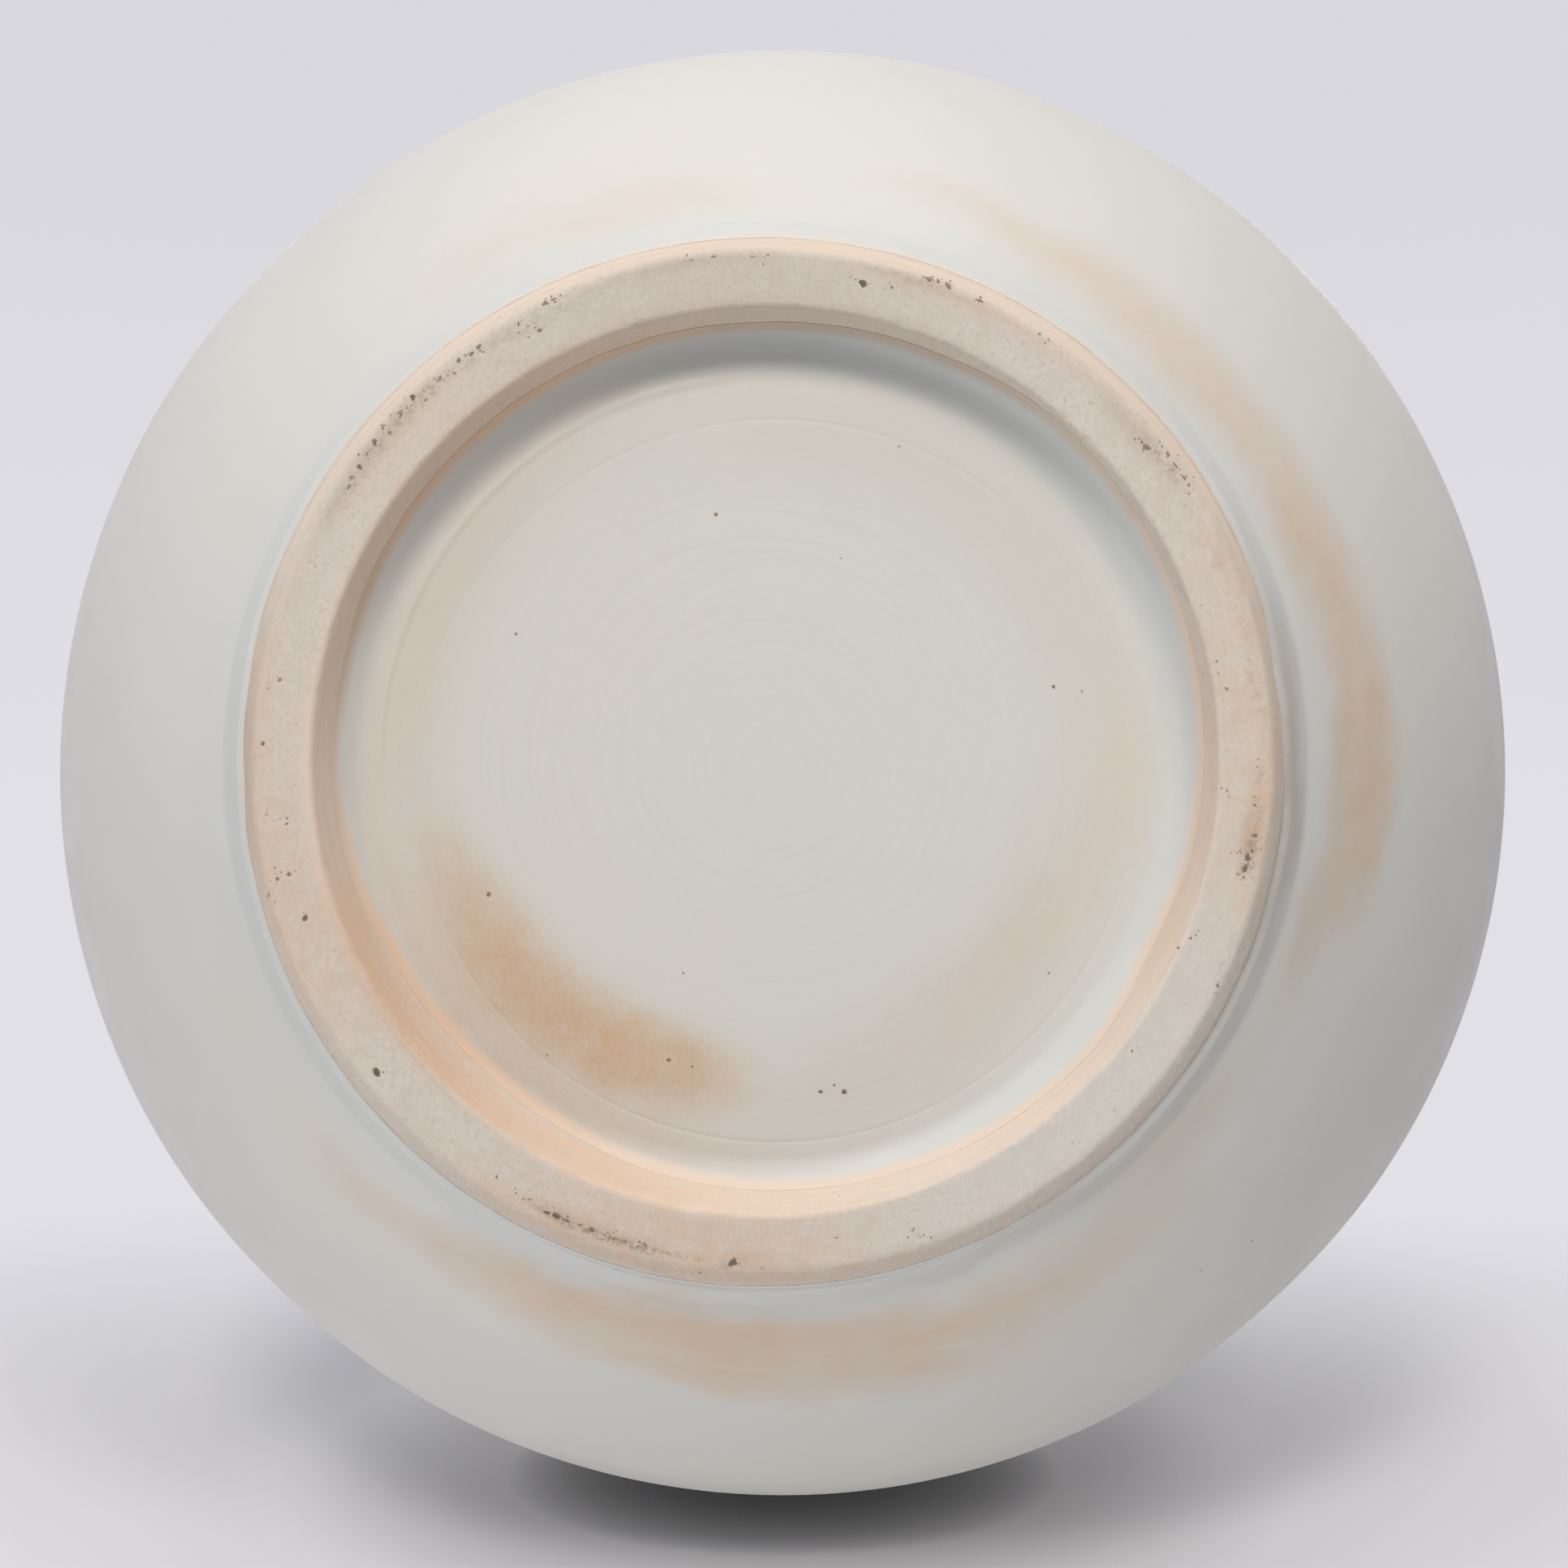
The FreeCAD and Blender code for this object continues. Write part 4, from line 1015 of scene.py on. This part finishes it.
def shift_well(bm, o):
    """Set the well a little off the foot's axis, so that the bearing face is wider on one side."""
    for vert in bm.verts:
        radius = math.hypot(vert.co.x, vert.co.y)
        low = ease(WELL_SHIFT_TOP, WELL_SHIFT_LOW, vert.co.z)
        vert.co.x += WELL_SHIFT * ease(o.bearing_out.x, o.bearing_in.x, radius) * low


# Operators.

def add_specks(bm, layer, rows, place, lift):
    """Press small ellipsoids of iron into a face: each row is a pixel, its half sizes, tilt and darkness."""
    for x, y, half_length, half_width, tilt, dark in rows:
        point, normal, metres_per_px = place((x, y))
        shrink = 0.74 + 0.2 * dark
        size = Vector((half_length * shrink * metres_per_px, half_width * shrink * metres_per_px, 0.10 * MM))
        along = Vector((math.cos(math.radians(tilt)), math.sin(math.radians(tilt)), 0))
        along = (along - normal * along.dot(normal)).normalized()
        turn = Matrix((along, normal.cross(along), normal)).transposed().to_4x4()
        matrix = Matrix.Translation(point + normal * lift) @ turn @ Matrix.Diagonal((*size, 1))
        made = bmesh.ops.create_icosphere(bm, subdivisions=2 if dark > 0.5 else 1, radius=1, matrix=matrix)
        for vert in made["verts"]:
            vert[layer] = dark * (0.2 + 0.8 * max(0.0, (vert.co - point).dot(normal) / size.z))
            vert.co += noise.noise_vector(vert.co * 3000) * half_width * metres_per_px * 0.16
            vert.co.z = max(0.0, vert.co.z)


def scatter(rows, chance):
    """Fine rusty dots strewn round the larger specks, mostly along the ring."""
    dots = []
    for x, y, _, _, _, dark in rows:
        round_jar = math.radians(photo_angle(x - FOOT_CENTRE_PX[0], y - FOOT_CENTRE_PX[1]))
        for _ in range(chance.randint(1, 3 + int(dark * 5))):
            along, across = chance.gauss(0, 8.5), chance.gauss(0, 4.2)
            dot_x = x + math.cos(round_jar) * along - math.sin(round_jar) * across
            dot_y = y + math.sin(round_jar) * along + math.cos(round_jar) * across
            size = chance.uniform(0.7, 1.9)
            dots.append((dot_x, dot_y, size * 1.4, size, chance.uniform(0, 180), chance.uniform(0.05, 0.35)))
    return dots


class MOONJAR_OT_clay(bpy.types.Operator):
    """Turn the two bowls, the seam of slip between them and the collar, all under the glaze"""
    bl_idname = "moonjar.clay"
    bl_label = "Clay Under the Glaze"

    def execute(self, context):
        o = measure_outline()
        clay = body_clay_material("fired_white_clay", "body_clay")
        slip = body_clay_material("fired_slip", "glaze_milk")
        for node, rows in bowl_rows(o).items():
            bm = draw_section(rows)
            turn_section(bm, CLAY_SEGMENTS)
            settle_all(bm, o)
            material, slot = (slip, "seam_slip") if node == "belly_seam" else (clay, "body_clay")
            finish_piece(bm, node + "_thrown", material, node)
        return {"FINISHED"}


class MOONJAR_OT_foot_ring(bpy.types.Operator):
    """Turn the bare foot ring with its bearing face, bevel, cove and well wall, and wear its edges"""
    bl_idname = "moonjar.foot_ring"
    bl_label = "Foot Ring"

    def execute(self, context):
        o = measure_outline()
        bm = draw_section(foot_ring_rows(o))
        edges = [vert for vert in bm.verts if abs(vert.co.z) < TINY]
        if len(edges) != 2:
            raise RuntimeError("the foot's section has lost an edge of its bearing face")
        bmesh.ops.bevel(bm, geom=edges, offset=context.scene.moon_jar_sizes.edge_radius, offset_type="OFFSET",
                        segments=4, profile=0.5, affect="VERTICES", clamp_overlap=True, material=-1)
        for edge in bm.edges[:]:
            cuts = int(edge.calc_length() / FOOT_PITCH)
            if cuts:
                bmesh.ops.subdivide_edges(bm, edges=[edge], cuts=cuts)
        turn_section(bm, FOOT_SEGMENTS)
        wear_foot(bm, o)
        shift_well(bm, o)
        finish_piece(bm, "foot_ring_bare", foot_clay_material(o), "foot_ring")
        return {"FINISHED"}


class MOONJAR_OT_outer_glaze(bpy.types.Operator):
    """Turn the milky coat over the outside, from its ragged edge at the foot to the lip"""
    bl_idname = "moonjar.outer_glaze"
    bl_label = "Outer Glaze"

    def execute(self, context):
        o = measure_outline()
        bm = draw_section(outer_glaze_rows(o))
        turn_section(bm, OUTER_SEGMENTS)
        slide_outer_edge(bm, o)
        pool_glaze(bm, o)
        settle_all(bm, o)
        finish_piece(bm, "outer_glaze_coat", outer_glaze_material(o), "outer_glaze")
        return {"FINISHED"}


class MOONJAR_OT_inner_glaze(bpy.types.Operator):
    """Turn the coat over the inside, from the floor up and over the lip"""
    bl_idname = "moonjar.inner_glaze"
    bl_label = "Inner Glaze"

    def execute(self, context):
        o = measure_outline()
        bm = draw_section(inner_glaze_rows(o))
        turn_section(bm, INNER_SEGMENTS)
        settle_all(bm, o)
        finish_piece(bm, "inner_glaze_coat", inner_glaze_material(), "inner_glaze")
        return {"FINISHED"}


class MOONJAR_OT_well_glaze(bpy.types.Operator):
    """Turn the thin coat in the foot well, with its off-centre line, turning rings and ragged edge"""
    bl_idname = "moonjar.well_glaze"
    bl_label = "Foot Well Glaze"

    def execute(self, context):
        sizes, o = context.scene.moon_jar_sizes, measure_outline()
        bm = draw_section(well_glaze_rows(o, sizes))
        turn_section(bm, WELL_SEGMENTS)
        slide_well_edge(bm, o, sizes)
        mark_well(bm, o, sizes)
        shift_well(bm, o)
        finish_piece(bm, "foot_well_glaze_coat", well_glaze_material(o), "foot_well_glaze")
        return {"FINISHED"}


class MOONJAR_OT_iron_specks(bpy.types.Operator):
    """Press the iron specks into the bearing face, the well and the belly"""
    bl_idname = "moonjar.iron_specks"
    bl_label = "Iron Specks"

    def execute(self, context):
        sizes, o = context.scene.moon_jar_sizes, measure_outline()
        start = camera_pose()[0]
        centre = Vector((0, 0, sizes.belly_height))

        def level_at(height):
            """Place a pixel on a level face that looks down."""
            def place(pixel):
                point = on_level(pixel, height)
                return point, Vector((0, 0, -1)), (point - start).length / FOCAL_PX
            return place

        def outside(pixel):
            point = settle(on_belly(pixel), sizes.belly_height, sizes.shoulder_height)
            return point, (point - centre).normalized(), (point - start).length / FOCAL_PX

        bm = bmesh.new()
        layer = bm.verts.layers.float.new("darkness")
        # Blender's noise vectors follow the clock until they are given a seed.
        noise.seed_set(SPECK_SEED)
        for rows, place, lift in (
                (BEARING_SPECKS_PX, level_at(0.08 * MM), 0.0),
                (scatter(BEARING_SPECKS_PX, random.Random(SPECK_SEED)), level_at(0.08 * MM), 0.0),
                (WELL_SPECKS_PX, level_at(o.well_face + 0.05 * MM), 0.0),
                (BELLY_SPECKS_PX, outside, -0.05 * MM)):
            add_specks(bm, layer, rows, place, lift)
        finish_piece(bm, "iron_specks", iron_material(), None)
        return {"FINISHED"}


# The studio.

STUDIO_LAMPS = (
    # Name, direction from the jar, level, size in metres, colour.
    ("key_softbox", (-0.10, -0.63, -0.77), 0.435, 0.45, "FFFCF6"),
    ("second_softbox", (0.30, -0.60, -0.74), 0.20, 0.45, "FFFCF6"),
    ("overhead_softbox", (0.06, -0.97, -0.22), 0.272, 1.2, "FFFCF6"),
    ("left_fill", (-0.95, 0.0, -0.25), 0.07, 1.4, "FFFCF6"),
    ("table_bounce", (0.0, 0.93, -0.36), 0.40, 2.4, "FFFCF6"),
    ("table_left", (-0.60, 0.78, -0.22), 0.175, 1.4, "FFFCF6"),
    ("table_right", (0.42, 0.87, -0.25), 0.13, 1.4, "FFFCF6"),
    ("ceiling_bounce", (0.0, 0.0, 1.0), 0.85, 1.6, "FFFEFC"),
)
LAMP_DISTANCE = 2.0
WORLD_LEVEL = 0.292
WORLD_COLOUR = "EDF2FF"
WORLD_LEFT, WORLD_RIGHT = 1.16, 0.24
DARKER_AWAY = 0.92
SWEEP_REACH, SWEEP_COVE, SWEEP_LIFT = 14.0, 34 * MM, 0.2 * MM
CONTACT_SHADE = (0.01, 0.012, 0.012)
CONTACT_NEAR, CONTACT_WIDE = 12.2 * MM, 38 * MM


class MOONJAR_OT_stage(bpy.types.Operator):
    """Build the pale sweep of floor and backdrop, the lamps, the world and the camera"""
    bl_idname = "moonjar.stage"
    bl_label = "Studio"

    def execute(self, context):
        scene, sizes = context.scene, context.scene.moon_jar_sizes
        scene.view_settings.view_transform = "Standard"
        pale = tuple(scene.moon_jar_colours.studio)
        self.build_sweep(scene, sizes, pale)
        self.light_world(scene, pale)
        self.hang_lamps(scene, sizes)
        self.set_camera(scene)
        return {"FINISHED"}

    def build_sweep(self, scene, sizes, pale):
        """Floor under the upright jar, and a wall with a cove for the table it lies on in the photograph."""
        back = sizes.belly_diameter / 2
        bm = bmesh.new()
        bmesh.ops.create_grid(bm, x_segments=1, y_segments=1, size=SWEEP_REACH)
        # The cove starts just above the floor, where it is still clear, so that the two don't fight.
        run = bm.verts.new((-SWEEP_REACH, back - SWEEP_COVE, SWEEP_LIFT))
        centre = (-SWEEP_REACH, back - SWEEP_COVE, SWEEP_COVE + SWEEP_LIFT)
        swung = bmesh.ops.spin(bm, geom=[run], cent=centre, axis=(1, 0, 0), angle=math.pi / 2, steps=16)
        last = next(item for item in swung["geom_last"] if isinstance(item, bmesh.types.BMVert))
        rise = bmesh.ops.extrude_vert_indiv(bm, verts=[last])["verts"][0]
        rise.co = (-SWEEP_REACH, back, SWEEP_REACH)
        loose = [edge for edge in bm.edges if not edge.link_faces]
        pulled = bmesh.ops.extrude_edge_only(bm, edges=loose)
        moved = [item for item in pulled["geom"] if isinstance(item, bmesh.types.BMVert)]
        bmesh.ops.translate(bm, verts=moved, vec=(2 * SWEEP_REACH, 0, 0))
        bm.normal_update()
        bmesh.ops.reverse_faces(bm, faces=[face for face in bm.faces if face.normal.y > 0.01
                                           or face.normal.z < -0.5])
        for face in bm.faces:
            face.smooth = True
        mesh = bpy.data.meshes.new("studio_sweep")
        bm.to_mesh(mesh)
        bm.free()
        mesh.materials.append(self.sweep_material(sizes, pale))
        sweep = bpy.data.objects.new("studio_sweep", mesh)
        scene.collection.objects.link(sweep)

    def sweep_material(self, sizes, pale):
        """Pale paper that only the camera sees, from its front, fading into the backdrop with distance."""
        paper = bpy.data.materials.new("studio_paper")
        paper.use_nodes = True
        s = Nodes(paper.node_tree)
        place = s.add("place")
        height = s.add("z", place)
        # Shade where the jar touches the paper. It is off away from the foot, where the wall meets the floor.
        wide = s.add("ease", s.add("occlusion", CONTACT_WIDE), 0.0, 1.0, 0.5, 1.0)
        gap = s.add("MULTIPLY", s.add("occlusion", CONTACT_NEAR), wide)
        radius = s.add("vector length", s.add("vector multiply", place, (1, 1, 0)))
        radius = s.add("MULTIPLY", radius, 1 / MM)
        open_floor = s.add("MULTIPLY", s.add("ease", radius, 112, 122), s.add("ease", height, 0.055, 0.035))
        gap = s.add("MAXIMUM", gap, open_floor)
        lit = s.add("diffuse", s.add("mix", gap, CONTACT_SHADE, tuple(min(1.0, v * 1.04) for v in pale)))
        away = s.add("ease", s.add("y", place), -1.0, -9.0)
        glow = s.add("glow", s.add("mix", away, pale, tuple(v * DARKER_AWAY for v in pale)), 1.0)
        centre = s.add("vector subtract", place, (0, 0, sizes.belly_height))
        far = s.add("vector length", s.add("vector multiply", centre, (1, 1, 1.5)))
        shown = s.add("mix shaders", s.add("ease", far, 0.17, 0.57, 0.03, 1.0), lit, glow)
        # Only the camera and reflections see it, from its front, and the cove comes in softly.
        seen = s.add("MAXIMUM", s.add("camera ray"), s.add("glossy ray"))
        seen = s.add("MULTIPLY", seen, s.add("SUBTRACT", 1.0, s.add("backfacing")))
        floor = s.add("LESS_THAN", height, SWEEP_LIFT / 2)
        seen = s.add("MULTIPLY", seen, s.add("MAXIMUM", floor, s.add("ease", height, 0.005, 0.065)))
        s.add("material output", s.add("mix shaders", seen, s.add("clear"), shown))
        return paper

    def light_world(self, scene, pale):
        """Backdrop colour for the camera, and for everything else a low light, weaker from the right."""
        scene.world = bpy.data.worlds.new("studio_world")
        scene.world.use_nodes = True
        n = Nodes(scene.world.node_tree)
        way = n.add("way")
        upper = n.add("range", n.add("y", way), 0.0, -0.3)
        backdrop = n.add("background", n.add("mix", upper, pale, tuple(v * DARKER_AWAY for v in pale)), 1.0)
        side = n.add("range", n.add("x", way), -1, 1, WORLD_LEFT, WORLD_RIGHT)
        fill = n.add("background", linear(WORLD_COLOUR), n.add("MULTIPLY", side, WORLD_LEVEL))
        seen = n.add("MAXIMUM", n.add("camera ray"), n.add("glossy ray"))
        n.add("world output", n.add("mix shaders", seen, fill, backdrop))

    def hang_lamps(self, scene, sizes):
        """Soft square lamps round the jar; a level of 1 shows a colour as it is written."""
        centre = Vector((0, 0, sizes.belly_height))
        for name, direction, level, size, code in STUDIO_LAMPS:
            data = bpy.data.lights.new(name, "AREA")
            data.shape = "SQUARE"
            data.size = size
            data.energy = level * (math.pi * LAMP_DISTANCE) ** 2
            data.color = linear(code)
            lamp = bpy.data.objects.new(name, data)
            way = Vector(direction).normalized()
            lamp.location = centre + way * LAMP_DISTANCE
            lamp.rotation_mode = "QUATERNION"
            lamp.rotation_quaternion = way.to_track_quat("Z", "Y")
            lamp.visible_camera = False
            scene.collection.objects.link(lamp)

    def set_camera(self, scene):
        """Camera of the photograph, under the foot."""
        place, right, down, forward = camera_pose()
        data = bpy.data.cameras.new("camera_under_foot")
        data.sensor_width = 36.0
        data.lens = FOCAL_PX / PHOTO_SIZE_PX * data.sensor_width
        data.clip_start, data.clip_end = 0.01, 100
        camera = bpy.data.objects.new("camera_under_foot", data)
        turn = Matrix((right, -down, -forward)).transposed().to_4x4()
        camera.matrix_world = Matrix.Translation(place) @ turn
        scene.collection.objects.link(camera)
        scene.camera = camera


class VIEW3D_PT_moon_jar(bpy.types.Panel):
    """Sidebar panel that lists the jar's pieces, sizes and colours"""
    bl_label = "Moon Jar"
    bl_idname = "VIEW3D_PT_moon_jar"
    bl_space_type = "VIEW_3D"
    bl_region_type = "UI"
    bl_category = "Moon Jar"

    def draw(self, context):
        layout = self.layout
        for operator in OPERATORS:
            layout.operator(operator.bl_idname)
        for group in (context.scene.moon_jar_sizes, context.scene.moon_jar_colours):
            column = layout.column(align=True)
            for name in group.__annotations__:
                column.prop(group, name)


OPERATORS = (MOONJAR_OT_clay, MOONJAR_OT_foot_ring, MOONJAR_OT_outer_glaze, MOONJAR_OT_inner_glaze,
             MOONJAR_OT_well_glaze, MOONJAR_OT_iron_specks, MOONJAR_OT_stage)
CLASSES = (MoonJarSizes, MoonJarColours, *OPERATORS, VIEW3D_PT_moon_jar)


def register():
    """Register the classes and hang the sizes and colours on the scene."""
    for item in CLASSES:
        bpy.utils.register_class(item)
    bpy.types.Scene.moon_jar_sizes = PointerProperty(type=MoonJarSizes)
    bpy.types.Scene.moon_jar_colours = PointerProperty(type=MoonJarColours)


def unregister():
    """Take the sizes and colours off the scene and unregister the classes."""
    del bpy.types.Scene.moon_jar_colours
    del bpy.types.Scene.moon_jar_sizes
    for item in reversed(CLASSES):
        bpy.utils.unregister_class(item)


def main():
    """Build the jar and its studio."""
    register()
    bpy.ops.moonjar.clay()
    bpy.ops.moonjar.foot_ring()
    bpy.ops.moonjar.outer_glaze()
    bpy.ops.moonjar.inner_glaze()
    bpy.ops.moonjar.well_glaze()
    bpy.ops.moonjar.iron_specks()
    bpy.ops.moonjar.stage()


if __name__ == "__main__":
    main()
